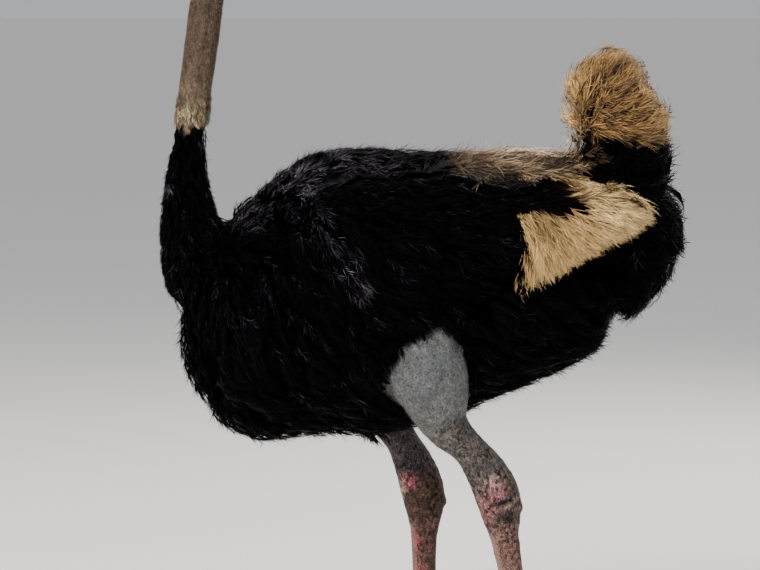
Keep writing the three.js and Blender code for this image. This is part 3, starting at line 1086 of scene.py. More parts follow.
def meshStrands(name, strands, shape=barbShape):
    # one mesh of many closed, flat, tapering strands
    points, joints = strands["points"], strands["points"].shape[1]
    count = len(points)
    run = np.gradient(points, axis=1)
    across = unit(np.cross(strands["normal"][:, None], run))
    up = unit(np.cross(run, across))
    taper = np.array(shape["taper"])[: joints - 1]
    half = strands["width"][:, None, None] * taper[None, :, None] / 2
    rings = points[:, :-1]
    left = rings - across[:, :-1] * half
    right = rings + across[:, :-1] * half
    top = rings + up[:, :-1] * half * shape["high"]
    corners = np.stack([left, right, top], 2).reshape(count, -1, 3)
    corners = np.concatenate([corners, points[:, -1:]], 1)
    each = corners.shape[1]
    faces = [[0, 1, 2]]
    for ring in range(joints - 2):
        a = ring * 3
        faces += [[a, a + 3, a + 4, a + 1]]
        faces += [[a + 1, a + 4, a + 5, a + 2], [a + 2, a + 5, a + 3, a]]
    a, tip = (joints - 2) * 3, each - 1
    faces += [[a, tip, a + 1], [a + 1, tip, a + 2], [a + 2, tip, a]]
    order = np.array([corner for face in faces for corner in face])
    sizes = np.array([len(face) for face in faces])
    mesh = bpy.data.meshes.new(name)
    mesh.vertices.add(count * each)
    mesh.vertices.foreach_set("co", corners.astype(np.float32).ravel())
    offsets = np.arange(count)[:, None] * each
    mesh.loops.add(count * len(order))
    mesh.loops.foreach_set("vertex_index", (order[None] + offsets).astype(np.int32).ravel())
    mesh.polygons.add(count * len(sizes))
    starts = np.concatenate([[0], np.cumsum(sizes)[:-1]])
    starts = starts[None] + np.arange(count)[:, None] * len(order)
    mesh.polygons.foreach_set("loop_start", starts.astype(np.int32).ravel())
    mesh.update(calc_edges=True)
    ringShare = np.repeat(np.arange(joints - 1), 3) / (joints - 1)
    alongStrand = np.concatenate([ringShare, [1.0]])
    sideways = np.concatenate([np.tile([0.0, 1.0, 0.5], joints - 1), [0.5]])
    lock = np.empty((count, each, 3))
    lock[..., 0] = strands["tone"][:, None]
    lock[..., 1] = alongStrand[None] * shape["reach"]
    lock[..., 2] = strands["glint"][:, None]
    paintPoints(mesh, "lock", lock.reshape(-1, 3))
    paintPoints(mesh, "marks", strands["marks"].repeat(each, 0))
    patch = np.empty((count, each, 2))
    lengthways = alongStrand * 0.9 + np.where(sideways == 0.5, 0.1, 0.0)
    patch[..., 0] = strands["patch"][:, None, 0] + (lengthways[None] - 0.5) * 0.003
    patch[..., 1] = strands["patch"][:, None, 1] + (sideways[None] - 0.5) * 0.003
    unwrap = mesh.uv_layers.new(name="OFBake")
    unwrap.data.foreach_set("uv", patch[:, order].astype(np.float32).ravel())
    mesh.polygons.foreach_set("use_smooth", np.ones(len(mesh.polygons), bool))
    mesh.update()
    piece = bpy.data.objects.new(name, mesh)
    scene.collection.objects.link(piece)
    return piece


# markings, shared by the skin and the coat

# outlines of the regions of the plumage and of each bare thigh, seen from the side: how
# far back and how high
outlines = {
    "wing": [(-0.489, 1.517), (0.337, 1.396), (0.357, 1.316), (0.415, 1.282), (0.462, 1.240),
             (0.411, 1.243), (0.362, 1.250), (0.313, 1.252), (0.267, 1.257), (0.299, 1.221),
             (0.316, 1.177), (0.312, 1.123), (0.285, 1.054), (0.241, 0.956), (-0.248, 0.784),
             (-0.491, 1.030)],
    "plume": [(0.241, 1.273), (0.358, 1.327), (0.424, 1.324), (0.485, 1.310), (0.553, 1.290),
              (0.607, 1.254), (0.627, 1.229), (0.583, 1.192), (0.515, 1.158), (0.452, 1.129),
              (0.398, 1.102), (0.352, 1.070), (0.296, 1.038), (0.271, 1.038), (0.281, 1.102)],
    "tail": [(0.433, 1.400), (0.431, 1.421), (0.430, 1.516), (0.437, 1.573), (0.462, 1.601),
             (0.492, 1.628), (0.521, 1.648), (0.546, 1.646), (0.567, 1.613), (0.592, 1.581),
             (0.617, 1.541), (0.640, 1.509), (0.665, 1.469), (0.685, 1.429), (0.696, 1.400),
             (0.641, 1.392), (0.543, 1.400), (0.471, 1.404)],
    "tailRim": [(0.392, 1.541), (0.398, 1.469), (0.413, 1.410), (0.480, 1.410), (0.490, 1.560),
                (0.520, 1.640), (0.447, 1.613), (0.417, 1.583)],
    "rump": [(-0.100, 1.480), (0.434, 1.480), (0.442, 1.300), (0.358, 1.290), (0.250, 1.270),
             (-0.100, 1.270)],
    "coverts": [(0.300, 1.300), (0.437, 1.300), (0.436, 1.408), (0.471, 1.421), (0.511, 1.406),
                (0.543, 1.414), (0.591, 1.402), (0.641, 1.402), (0.698, 1.416), (0.722, 1.311),
                (0.712, 1.153), (0.698, 1.078), (0.636, 1.020), (0.576, 0.968), (0.500, 0.935),
                (0.400, 0.900), (0.300, 0.900)],
    "thigh": [(0.063, 0.948), (0.097, 0.958), (0.127, 0.938), (0.150, 0.896), (0.163, 0.855),
              (0.166, 0.798), (0.185, 0.737), (0.242, 0.663), (0.095, 0.650), (0.058, 0.700),
              (0.026, 0.732), (-0.008, 0.766), (-0.037, 0.798), (-0.044, 0.815),
              (-0.020, 0.867), (0.004, 0.904)],
}


def insideOutline(points, outline):
    across, high = points[..., 0], points[..., 2]
    inside = np.zeros(across.shape, bool)
    corners = np.array(outline)
    for (x0, z0), (x1, z1) in zip(corners, np.roll(corners, -1, 0)):
        crosses = (z0 > high) != (z1 > high)
        inside ^= crosses & (across < x0 + (high - z0) * (x1 - x0) / (z1 - z0 + 1e-12))
    return inside


hips = {"left": 0.0, "right": -0.194}  # how far each thigh is moved back


def keepWithin(strands, style, perFeather):
    # shortens the strands that leave their region, a little unevenly, and drops the rest
    ragged = style["ragged"]

    def allowed(places):
        fine = np.ones(len(places), bool)
        if "within" in style:
            fine &= insideOutline(places, outlines[style["within"]])
        if "without" in style:
            fine &= ~insideOutline(places, outlines[style["without"]])
        if style.get("clearThigh"):
            for name, sign in sides:
                onThigh, inside = thighAt(places, name, sign)
                fine &= ~(onThigh & inside)
        return fine

    points = strands["points"]
    count = len(points)
    tufts = seeds.normal(0, ragged, (count // perFeather, 3)).repeat(perFeather, 0)
    shift = tufts + seeds.normal(0, ragged * 0.5, (count, 3))
    share = np.ones(count)
    start = points[:, 0]
    for shorter in (0.8, 0.6, 0.45, 0.3, 0.2):
        tip = start + (points[:, -1] - start) * share[:, None] + shift
        share[~allowed(tip)] = shorter
    keep = allowed(start + shift)
    strands["points"] = start[:, None] + (points - start[:, None]) * share[:, None, None]
    return {key: values[keep] for key, values in strands.items()}


def thighAt(points, name, sign):
    # which points are on the side of the hip, and which are inside the bare thigh
    onThigh = (points[:, 1] * sign > 0.07) & (points[:, 2] < 1.1) & (points[:, 2] > 0.735)
    return onThigh, insideOutline(points - (hips[name], 0, 0), outlines["thigh"])


markingPlaces = {
    "rumpStart": 0.02,  # where the black back starts to turn brown
    "rumpFull": 0.22,
    "rumpEnd": 0.44,
    "rumpLow": 1.305,
    "rumpHigh": 1.345,
}


def bareAt(points, owner):
    # where the skin is bare: head, neck and legs, up to the outline of each thigh
    bare = bareNode[owner].astype(float)
    for name, sign in sides:
        onThigh, inside = thighAt(points, name, sign)
        bare = np.where(onThigh, inside, bare)
    return bare


def skinColourAt(points):
    # tint of bare skin, and its finish, blended from the nearest places
    tints = np.array([tint + finish for _, tint, finish in skinTintsAndShade])
    places = np.array([place for place, _, _ in skinTintsAndShade])
    values = np.empty((len(points), 6))
    for part in np.array_split(np.arange(len(points)), 30):
        gap = np.linalg.norm(points[part, None] - places[None], axis=2)
        weight = 1 / (gap**4 + 1e-9)
        values[part] = weight @ tints / weight.sum(1, keepdims=True)
    # a fixed ripple makes the rims of the patches uneven
    wobble = np.sin(points @ (210, 170, 330)) * np.sin(points @ (90, 310, 150))
    wobble += 0.7 * np.sin(points @ (520, 300, -410)) * np.sin(points @ (-260, 610, 480))
    for place, radius, patch, strength in skinPatchesAndPaintedLight:
        gap = np.linalg.norm(points - np.array(place), axis=1) + radius * 0.28 * wobble
        share = strength * between(-gap, -radius * 1.3, -radius * 0.5)[:, None]
        values[:, :3] = values[:, :3] * (1 - share) + np.array(patch) * share
    return values[:, :3], values[:, 3:]


def markSkin(piece):
    # red: tan plumage, green: brown of the rump, blue: bare skin of neck and legs
    mesh = piece.data
    points = pointsOf(mesh)
    owner = nodeAt(points)
    plumed, tail = named("wing")[owner], named("tail_plumes")[owner]
    m = markingPlaces
    marks = np.ones((len(points), 3))
    rear = (np.abs(points[:, 1]) > 0.05) & (points[:, 2] > 1.25)
    pale = (plumed | rear) & insideOutline(points, outlines["plume"])
    pale &= ~insideOutline(points, outlines["wing"])
    marks[:, 0] = smoothField(mesh, (pale | tail).astype(float), 1)
    brown = between(points[:, 0], m["rumpStart"], m["rumpFull"])
    brown *= between(points[:, 2], m["rumpLow"], m["rumpHigh"])
    brown *= points[:, 0] < m["rumpEnd"]
    marks[:, 1] = brown * (1 - bareNode[owner]) * (1 - marks[:, 0]) * ~plumed
    marks[:, 2] = smoothField(mesh, bareAt(points, owner), 1)
    tint, finish = skinColourAt(points)
    for label, values in (("marks", marks), ("tint", tint), ("finish", finish)):
        paintPoints(mesh, label, values)
    return marks


# bare skin: place, colour, and finish (dots, scales, folds); the far leg is a little darker,
# partly its own colour and partly painted shade
skinTintsAndShade = [
    ((-0.55, 0.00, 2.19), (0.070, 0.052, 0.041), (0.3, 0.0, 0.2)),
    ((-0.62, 0.00, 2.16), (0.130, 0.076, 0.060), (0.1, 0.0, 0.3)),
    ((-0.56, -0.04, 2.12), (0.140, 0.096, 0.074), (0.2, 0.0, 0.4)),
    ((-0.56, 0.04, 2.12), (0.140, 0.096, 0.074), (0.2, 0.0, 0.4)),
    ((-0.50, 0.00, 2.17), (0.070, 0.052, 0.041), (0.4, 0.0, 0.4)),
    ((-0.46, 0.00, 2.00), (0.044, 0.030, 0.021), (0.5, 0.0, 0.4)),
    ((-0.47, 0.00, 1.80), (0.044, 0.026, 0.018), (0.5, 0.0, 0.4)),
    ((-0.51, 0.00, 1.62), (0.050, 0.030, 0.020), (0.5, 0.0, 0.5)),
    ((-0.53, 0.00, 1.50), (0.115, 0.080, 0.048), (0.5, 0.0, 0.5)),
    ((0.06, -0.24, 0.85), (0.078, 0.082, 0.084), (1.0, 0.0, 0.2)),
    ((0.12, -0.22, 0.78), (0.103, 0.105, 0.104), (1.0, 0.0, 0.3)),
    ((0.15, -0.20, 0.69), (0.086, 0.072, 0.063), (0.8, 0.4, 0.8)),
    ((0.20, -0.18, 0.61), (0.080, 0.060, 0.052), (0.6, 0.6, 0.9)),
    ((0.25, -0.18, 0.54), (0.120, 0.081, 0.070), (0.4, 0.7, 0.8)),
    ((0.25, -0.15, 0.47), (0.142, 0.078, 0.064), (0.2, 0.9, 0.9)),
    ((0.24, -0.15, 0.38), (0.190, 0.100, 0.078), (0.0, 1.0, 0.6)),
    ((0.28, -0.13, 0.22), (0.180, 0.104, 0.074), (0.0, 1.0, 0.3)),
    ((0.22, -0.13, 0.05), (0.120, 0.080, 0.060), (0.0, 1.0, 0.3)),
    # the far leg, a little darker than the near one: partly its own colour, partly painted shade
    ((-0.14, 0.24, 0.85), (0.078, 0.082, 0.084), (1.0, 0.0, 0.2)),
    ((-0.08, 0.22, 0.75), (0.060, 0.056, 0.056), (0.9, 0.2, 0.6)),
    ((-0.02, 0.16, 0.66), (0.054, 0.043, 0.043), (0.8, 0.4, 1.0)),
    ((0.04, 0.15, 0.58), (0.048, 0.036, 0.034), (0.8, 0.5, 1.0)),
    ((0.06, 0.14, 0.50), (0.074, 0.036, 0.024), (0.4, 0.7, 1.0)),
    ((0.04, 0.13, 0.40), (0.105, 0.052, 0.040), (0.0, 1.0, 0.7)),
    ((0.04, 0.13, 0.20), (0.130, 0.072, 0.053), (0.0, 1.0, 0.3)),
    ((-0.03, 0.13, 0.04), (0.120, 0.080, 0.060), (0.0, 1.0, 0.3)),
]
# patches with a colour of their own, and a few marks of painted shade and painted highlight:
# place, radius, colour, strength
skinPatchesAndPaintedLight = [
    ((0.229, -0.180, 0.574), 0.022, (0.20, 0.125, 0.118), 0.8),
    ((0.239, -0.179, 0.548), 0.027, (0.34, 0.150, 0.150), 0.95),
    ((0.212, -0.168, 0.516), 0.034, (0.25, 0.105, 0.100), 0.85),
    ((0.201, -0.150, 0.490), 0.028, (0.22, 0.092, 0.085), 0.8),
    # a painted highlight on the lip under the hock's slit
    ((0.266, -0.170, 0.516), 0.009, (0.34, 0.240, 0.180), 0.9),
    # the hock's slit, painted nearly black as shade in its groove
    ((0.246, -0.176, 0.5195), 0.0085, (0.004, 0.003, 0.003), 1.0),
    ((0.257, -0.171, 0.5250), 0.0090, (0.004, 0.003, 0.003), 1.0),
    ((0.270, -0.167, 0.5290), 0.0085, (0.004, 0.003, 0.003), 1.0),
    ((0.2595, -0.170, 0.4870), 0.020, (0.014, 0.010, 0.008), 0.9),
    ((0.276, -0.160, 0.570), 0.026, (0.036, 0.026, 0.022), 0.7),
    ((0.222, -0.150, 0.470), 0.018, (0.070, 0.030, 0.026), 0.6),
    ((0.232, -0.140, 0.400), 0.026, (0.22, 0.100, 0.074), 0.6),
    ((0.002, 0.112, 0.526), 0.022, (0.50, 0.275, 0.185), 0.9),
    ((0.024, 0.102, 0.534), 0.022, (0.42, 0.110, 0.145), 0.9),
    ((0.002, 0.118, 0.504), 0.016, (0.52, 0.360, 0.240), 0.85),
    ((-0.045, 0.130, 0.650), 0.028, (0.130, 0.080, 0.070), 0.7),
    ((0.030, 0.108, 0.380), 0.030, (0.27, 0.070, 0.070), 0.8),
    ((0.032, 0.106, 0.300), 0.034, (0.24, 0.074, 0.066), 0.7),
    ((0.090, 0.135, 0.480), 0.040, (0.026, 0.014, 0.009), 0.8),
    ((0.096, 0.140, 0.420), 0.024, (0.120, 0.046, 0.016), 0.6),
    ((-0.540, 0.000, 2.190), 0.030, (0.050, 0.038, 0.030), 0.6),
    # the ear openings, painted dark as shade in them
    ((-0.520, -0.036, 2.148), 0.008, (0.012, 0.007, 0.006), 0.9),
    ((-0.520, 0.036, 2.148), 0.008, (0.012, 0.007, 0.006), 0.9),
]


def unwrapSkin(piece):
    piece.data.uv_layers.new(name="OFBake")
    angle = math.radians(66)
    editWhole(piece, bpy.ops.uv.smart_project, angle_limit=angle, island_margin=0.002)


# coat

# lengths in metres, angles in degrees; cling holds a quill down on the skin, loose lets
# its tip go, and droop pulls it down. from and level bound the roots in x and z, and
# region keeps them inside one outline and outside another, after a small move. within
# and without do the same to the strands, and ragged makes their edge uneven
plain = {
    "steps": 6, "joints": 3, "stray": 10, "bend": 18, "cling": 1.0, "loose": 0.2,
    "follow": 0.5, "droop": 0.0, "bare": 0.03, "open": (54, 18), "bendBack": 0.7,
    "curl": 0.34, "rise": -0.08, "rough": 0.08, "width": 0.0022, "paint": "black",
    "vane": 0.028,
}
long = {
    **plain, "steps": 8, "joints": 4, "bend": 35, "loose": 0.8, "curl": 0.25,
    "bendBack": 0.8, "width": 0.0030, "rise": 0.06, "rough": 0.12,
}
down = {
    **plain, "steps": 1, "joints": 2, "barbs": 1, "bare": 0.0, "open": (10, 10),
    "stray": 22, "curl": 0.12, "width": 0.0008, "paint": "neck", "rise": 0.10, "vane": 0,
    "onBare": True,
}
# the long plumes of the tail, and the tan plumes beside the wing and on the hip
tailPlume = {
    **long, "on": ("tail_plumes",), "paint": "tail", "joints": 3, "stray": 22, "vane": 0,
}
tanPlume = {
    **long, "lie": ("wingPlume",), "paint": "plume", "within": "plume", "without": "wing",
    "region": ("plume", "wing", (0, 0, 0)), "cling": 0.8, "width": 0.0015, "joints": 3,
    "vane": 0.014,
}
coats = {
    "collarCoat": {
        **plain, "on": ("neck_collar",), "lie": ("collar", "neck", "breast"),
        "feathers": 440, "length": 0.050, "barbs": 24, "barb": 0.020, "lift": 0.010,
        "width": 0.0020, "stray": 8, "open": (45, 14), "vane": 0.018,
    },
    "breastCoat": {
        **plain, "on": ("trunk",), "lie": ("breast", "collar", "flank", "back"),
        "feathers": 680, "length": 0.070, "barbs": 26, "barb": 0.032, "lift": 0.024,
        "from": (-1, -0.26),
    },
    "flankCoat_left": {
        **plain, "on": ("trunk", "thigh"), "lie": ("flank", "breast", "back"), "side": -1,
        "feathers": 360, "length": 0.090, "barbs": 26, "barb": 0.040, "lift": 0.024,
        "from": (-0.28, 0.60), "level": (0, 1.27), "pale": False, "without": "plume",
        "ragged": 0.006, "clearThigh": True,
    },
    "backCoat": {
        **plain, "on": ("trunk",), "lie": ("back", "flank"),
        "feathers": 400, "length": 0.090, "barbs": 26, "barb": 0.036, "lift": 0.024,
        "from": (-0.30, 0.60), "level": (1.25, 2), "droop": 0.05, "thin": (0.05, 0.22, 0.35),
        "pale": False, "without": "plume", "ragged": 0.004,
    },
    "bellyTuft": {
        **plain, "on": ("trunk",), "lie": ("flank", "breast"), "feathers": 16,
        "length": 0.070, "barbs": 26, "barb": 0.036, "lift": 0.012, "cling": 0.10,
        "droop": 1.1, "from": (-0.16, -0.09), "level": (0, 0.70),
    },
    "shoulderCoat_left": {
        **plain, "on": ("trunk", "wing_left"), "lie": ("back", "wing"), "side": -1,
        "feathers": 70, "length": 0.110, "barbs": 30, "barb": 0.036, "lift": 0.024,
        "from": (-0.30, -0.14), "level": (1.08, 1.36), "stray": 14,
    },
    "wingCoat_left": {
        **plain, "on": ("wing_left",), "lie": ("wing", "back"), "pale": False,
        "feathers": 390, "length": 0.085, "barbs": 24, "barb": 0.034, "lift": 0.022,
        "droop": 0.04, "cling": 0.9, "within": "wing", "ragged": 0.004,
    },
    "rumpPlumes": {
        **long, "on": ("trunk",), "lie": ("back", "wing"), "paint": "rump",
        "feathers": 170, "length": 0.14, "barbs": 34, "barb": 0.072, "lift": 0.030,
        "from": (0.03, 0.42), "level": (1.30, 2), "droop": 0.10, "open": (26, 6),
        "curl": 0.42, "width": 0.0016, "stray": 22, "bend": 40, "vane": 0, "rise": 0.0,
        "rough": 0.07,
        "within": "rump", "without": "plume", "ragged": 0.006,
    },
    "rumpTop": {
        **long, "on": ("trunk",), "lie": ("back",), "paint": "rump",
        "feathers": 13, "length": 0.19, "barbs": 90, "barb": 0.020, "lift": 0.044,
        "from": (0.19, 0.28), "level": (1.352, 2), "open": (20, 8), "stray": 3, "bend": 4,
        "width": 0.0016, "joints": 3, "vane": 0.010, "shiny": 1.0, "within": "rump",
        "ragged": 0.004,
    },
    "tailCoverts": {
        **long, "on": ("tail_coverts",), "lie": ("tailBlack",), "paint": "black",
        "feathers": 340, "length": 0.10, "barbs": 27, "barb": 0.048, "lift": 0.038,
        "curl": 0.5, "cling": 0.85, "stray": 25, "bend": 45, "width": 0.0023,
        "within": "coverts", "without": "plume", "ragged": 0.009,
    },
    "tailUnder": {
        **plain, "on": ("tail_plumes",), "lie": ("tailTan",), "paint": "tail",
        "feathers": 220, "length": 0.07, "barbs": 22, "barb": 0.046, "lift": 0.020,
        "open": (38, 10), "width": 0.0020, "within": "tail", "ragged": 0.004, "vane": 0,
        "rise": 0.04,
    },
    "tailPlumes": {
        **tailPlume, "lie": ("tailTan",), "feathers": 420, "length": 0.10, "barbs": 34,
        "barb": 0.058, "lift": 0.048, "open": (30, 6), "cling": 0.72, "stray": 20,
        "bend": 34, "width": 0.0016, "within": "tail", "ragged": 0.010, "rise": 0.11,
        "rough": 0.16,
    },
    "tailFringe": {
        **tailPlume, "lie": ("tailRim",), "feathers": 110, "length": 0.065, "barbs": 16,
        "barb": 0.034, "lift": 0.060, "open": (40, 12), "cling": 0.35, "bend": 30,
        "width": 0.0011, "within": "tailRim", "ragged": 0.004, "from": (-1, 0.49),
    },
    "wingPlumes_left": {
        **tanPlume, "on": ("wing_plumes_left", "wing_left"), "feathers": 290,
        "length": 0.10, "barbs": 34, "barb": 0.060, "lift": 0.024, "open": (22, 5),
        "stray": 7, "bend": 12, "droop": 0.03, "ragged": 0.009,
        "region": ("plume", "wing", (0.03, 0, -0.02)),
    },
    "hipPlumes_left": {
        **tanPlume, "on": ("trunk", "tail_coverts"), "side": -1, "pale": True,
        "feathers": 80, "length": 0.08, "barbs": 30, "barb": 0.050, "lift": 0.030,
        "open": (24, 6), "stray": 8, "bend": 14, "ragged": 0.005,
    },
    "neckDown": {
        **down, "on": ("neck",), "not": ("neck_collar",), "lie": ("neck", "collar"),
        "feathers": 20000, "length": 0.003, "barb": 0.010, "lift": 0.001, "rise": 0.28,
        "rough": 0.2, "width": 0.0007,
    },
    "neckTufts": {
        **plain, "on": ("neck",), "not": ("neck_collar",), "lie": ("neck", "collar"),
        "feathers": 190, "length": 0.018, "barbs": 12, "barb": 0.015, "lift": 0.005,
        "width": 0.0009, "paint": "neck", "level": (1.464, 1.53), "open": (30, 8),
        "onBare": True, "vane": 0,
    },
    "headDown": {
        **down, "on": ("head",), "lie": ("head", "neck"),
        "feathers": 9000, "length": 0.002, "barb": 0.006, "lift": 0.0006, "rise": 0.05,
        "width": 0.0005,
    },
    "thighBristles_left": {
        **down, "on": ("thigh_left", "shin_left", "trunk"), "lie": ("thigh",), "side": -1,
        "feathers": 4200, "length": 0.003, "barb": 0.011, "lift": 0.001,
        "width": 0.0009, "paint": "leg",
    },
}
# the far side has the same coats
for name in [name for name in coats if name.endswith("_left")]:
    style = dict(coats[name])
    style["on"] = tuple(node.replace("_left", "_right") for node in style["on"])
    if "side" in style:
        style["side"] = 1
    if name.startswith("thigh"):
        style["moved"] = hips["right"]
    coats[name.replace("_left", "_right")] = style


def growCoat(name, style):
    centres, owner, marks = surface["centres"], surface["owner"], surface["marks"]
    weight = named(*style["on"])[owner].astype(float)
    if "not" in style:
        weight *= ~named(*style["not"])[owner]
    for key, axis in (("from", 0), ("level", 2)):
        if key in style:
            low, high = style[key]
            weight *= (centres[:, axis] > low) & (centres[:, axis] <= high)
    if "side" in style:
        weight *= centres[:, 1] * style["side"] > 0
    weight *= marks[:, 2] > 0.5 if style.get("onBare") else marks[:, 2] < 0.5
    if "pale" in style:
        weight *= (marks[:, 0] > 0.5) == style["pale"]
    if "thin" in style:
        start, end, least = style["thin"]
        weight *= 1 - (1 - least) * between(centres[:, 0], start, end)
    if "region" in style:
        inside, outside, ahead = style["region"]
        weight *= insideOutline(centres + ahead, outlines[inside])
        weight *= ~insideOutline(centres + ahead, outlines[outside])
    count = style["feathers"] // 1
    roots = scatterRoots(count, weight)
    places, normals = layFeathers(roots, style)
    strands = growBarbs(places, normals, roots, style)
    if "ragged" in style:
        strands = keepWithin(strands, style, style["barbs"])
    piece = meshStrands(name, strands)
    if style["vane"]:
        vanes = growVanes(places, normals, roots, style)
        if "ragged" in style:
            vanes = keepWithin(vanes, style, 1)
        joinAll(piece, meshStrands(name + "Vanes", vanes, vaneShape))
    handOver(piece, style["paint"], paintSlots[style["paint"]])
    return piece


# materials

paints = {}


def startPaint(name, label, colour, roughness=0.6):
    # a new material, kept under its short name, with its tree and its shader
    paints[name] = newMaterial(label, colour, roughness)
    tree = paints[name].node_tree
    return tree, tree.nodes["Principled BSDF"]


def addNode(tree, kind, **settings):
    node = tree.nodes.new("ShaderNode" + kind)
    for key, value in settings.items():
        setattr(node, key, value)
    return node


def newGroup(name, inputs, outputs):
    # a shader group, with the kind of socket for each input and output
    group = bpy.data.node_groups.new(name, "ShaderNodeTree")
    for way, sockets in (("INPUT", inputs), ("OUTPUT", outputs)):
        for label, kind in sockets.items():
            kind = "NodeSocket" + kind
            group.interface.new_socket(name=label, in_out=way, socket_type=kind)
    given = group.nodes.new("NodeGroupInput").outputs
    return group, given, group.nodes.new("NodeGroupOutput").inputs


def useGroup(tree, group, **values):
    # the group as a node, with its inputs fed by their names
    node = addNode(tree, "Group", node_tree=group)
    for label, value in values.items():
        feed(tree, node.inputs[label], value)
    return node.outputs


def attribute(tree, name):
    return addNode(tree, "Attribute", attribute_name=name).outputs["Color"]


def channels(tree, colour):
    parts = addNode(tree, "SeparateColor")
    tree.links.new(colour, parts.inputs[0])
    return parts.outputs


def objectPlace(tree):
    return addNode(tree, "TexCoord").outputs["Object"]


def mixColours(tree, factor, a, b):
    node = addNode(tree, "Mix", data_type="RGBA")
    for index, value in ((0, factor), (6, a), (7, b)):
        feed(tree, node.inputs[index], value)
    return node.outputs[2]


def vectorMath(tree, operation, vector, other):
    node = addNode(tree, "VectorMath", operation=operation)
    feed(tree, node.inputs[0], vector)
    feed(tree, node.inputs[3 if operation == "SCALE" else 1], other)
    return node.outputs[0]


def feed(tree, socket, value):
    # links another node's output, or sets a plain value
    if isinstance(value, bpy.types.NodeSocket):
        tree.links.new(value, socket)
    else:
        socket.default_value = (*value, 1) if socket.type == "RGBA" else value


def calc(tree, operation, a, b=0.0, clamp=False):
    node = addNode(tree, "Math", operation=operation, use_clamp=clamp)
    feed(tree, node.inputs[0], a)
    feed(tree, node.inputs[1], b)
    return node.outputs[0]


def ramp(tree, value, start, gain, clamp=True):
    # what a value has over a start, times a gain
    return calc(tree, "MULTIPLY", calc(tree, "SUBTRACT", value, start), gain, clamp)


def noiseAt(tree, place, scale, detail=2.0):
    noise = addNode(tree, "TexNoise")
    noise.inputs["Scale"].default_value = scale
    noise.inputs["Detail"].default_value = detail
    tree.links.new(place, noise.inputs["Vector"])
    return noise.outputs["Fac"]


def addBump(tree, height, relief, strength=1.0):
    bump = addNode(tree, "Bump")
    bump.inputs["Distance"].default_value = relief
    bump.inputs["Strength"].default_value = strength
    tree.links.new(height, bump.inputs["Height"])
    tree.links.new(bump.outputs["Normal"], tree.nodes["Principled BSDF"].inputs["Normal"])


def makeStrandGroup():
    # colour of a soft strand: dark at its root, its own tone, paler tip, painted highlights where
    # it catches light and on a few strands anywhere, brown or black
    colours = dict.fromkeys(("Lock", "Root", "Middle", "Tip", "Glint", "Other"), "Color")
    group, given, result = newGroup(
        "strandTone",
        {**colours, "OtherShare": "Float", "Spread": "Float"},
        {"Colour": "Color", "Roughness": "Float"},
    )
    tone, along, shine = channels(group, given["Lock"])
    lower = calc(group, "MULTIPLY", along, 2.0, clamp=True)
    colour = mixColours(group, lower, given["Root"], given["Middle"])
    colour = mixColours(group, ramp(group, along, 0.5, 2.0), colour, given["Tip"])
    # painted highlight: strands in a glint place, and a few strands anywhere, are painted towards
    # the glint colour
    lit = calc(group, "MULTIPLY", ramp(group, tone, 0.35, 2.2), shine)
    few = ramp(group, tone, 0.84, 1.2)
    lit = calc(group, "MULTIPLY", calc(group, "ADD", lit, few, clamp=True), lower)
    colour = mixColours(group, lit, colour, given["Glint"])
    colour = mixColours(group, given["OtherShare"], colour, given["Other"])
    brightness = calc(group, "ADD", ramp(group, tone, 0.5, given["Spread"], False), 1.0)
    feed(group, result["Colour"], vectorMath(group, "SCALE", colour, brightness))
    rough = calc(group, "ADD", calc(group, "MULTIPLY", tone, 0.25), 0.40)
    feed(group, result["Roughness"], rough)
    return group


# root, middle and tip colours of each kind of strand, its colour where it catches light
# and where it changes to the plumage beside it, and how much strands differ
strandPaints = {
    "black": {
        "root": (0.0006, 0.0006, 0.0009), "middle": (0.0012, 0.0011, 0.0020),
        "tip": (0.0030, 0.0028, 0.0050), "glint": (0.135, 0.118, 0.142),
        "other": (0.10, 0.060, 0.034), "spread": 1.6, "sheen": 0.0, "shine": 0.03,
    },
    "rump": {
        "root": (0.030, 0.018, 0.011), "middle": (0.42, 0.265, 0.150),
        "tip": (0.86, 0.63, 0.39), "glint": (0.98, 0.80, 0.54),
        "other": (0.004, 0.0035, 0.004), "spread": 2.0, "sheen": 0.0, "shine": 0.3,
    },
    "tail": {
        "root": (0.008, 0.0035, 0.0015), "middle": (0.19, 0.090, 0.026),
        "tip": (0.68, 0.41, 0.145), "glint": (1.00, 0.62, 0.20),
        "spread": 1.9, "sheen": 0.05, "shine": 0.3,
    },
    "plume": {
        "root": (0.13, 0.064, 0.020), "middle": (0.60, 0.375, 0.140),
        "tip": (0.92, 0.62, 0.260), "glint": (1.00, 0.77, 0.39),
        "spread": 1.3, "sheen": 0.05, "shine": 0.3,
    },
    "neck": {
        "root": (0.050, 0.029, 0.018), "middle": (0.150, 0.099, 0.057),
        "tip": (0.54, 0.42, 0.23), "glint": (0.92, 0.78, 0.44),
        "spread": 1.9, "sheen": 0.1, "shine": 0.3,
    },
    "leg": {
        "root": (0.05, 0.047, 0.047), "middle": (0.11, 0.108, 0.108),
        "tip": (0.28, 0.275, 0.27), "glint": (0.28, 0.27, 0.26),
        "spread": 1.7, "sheen": 0.05, "shine": 0.3,
    },
}
paintSlots = {
    "black": "black_plumage", "rump": "tan_plumage", "tail": "tan_plumage",
    "plume": "tan_plumage", "neck": "neck_skin", "leg": "leg_skin",
}


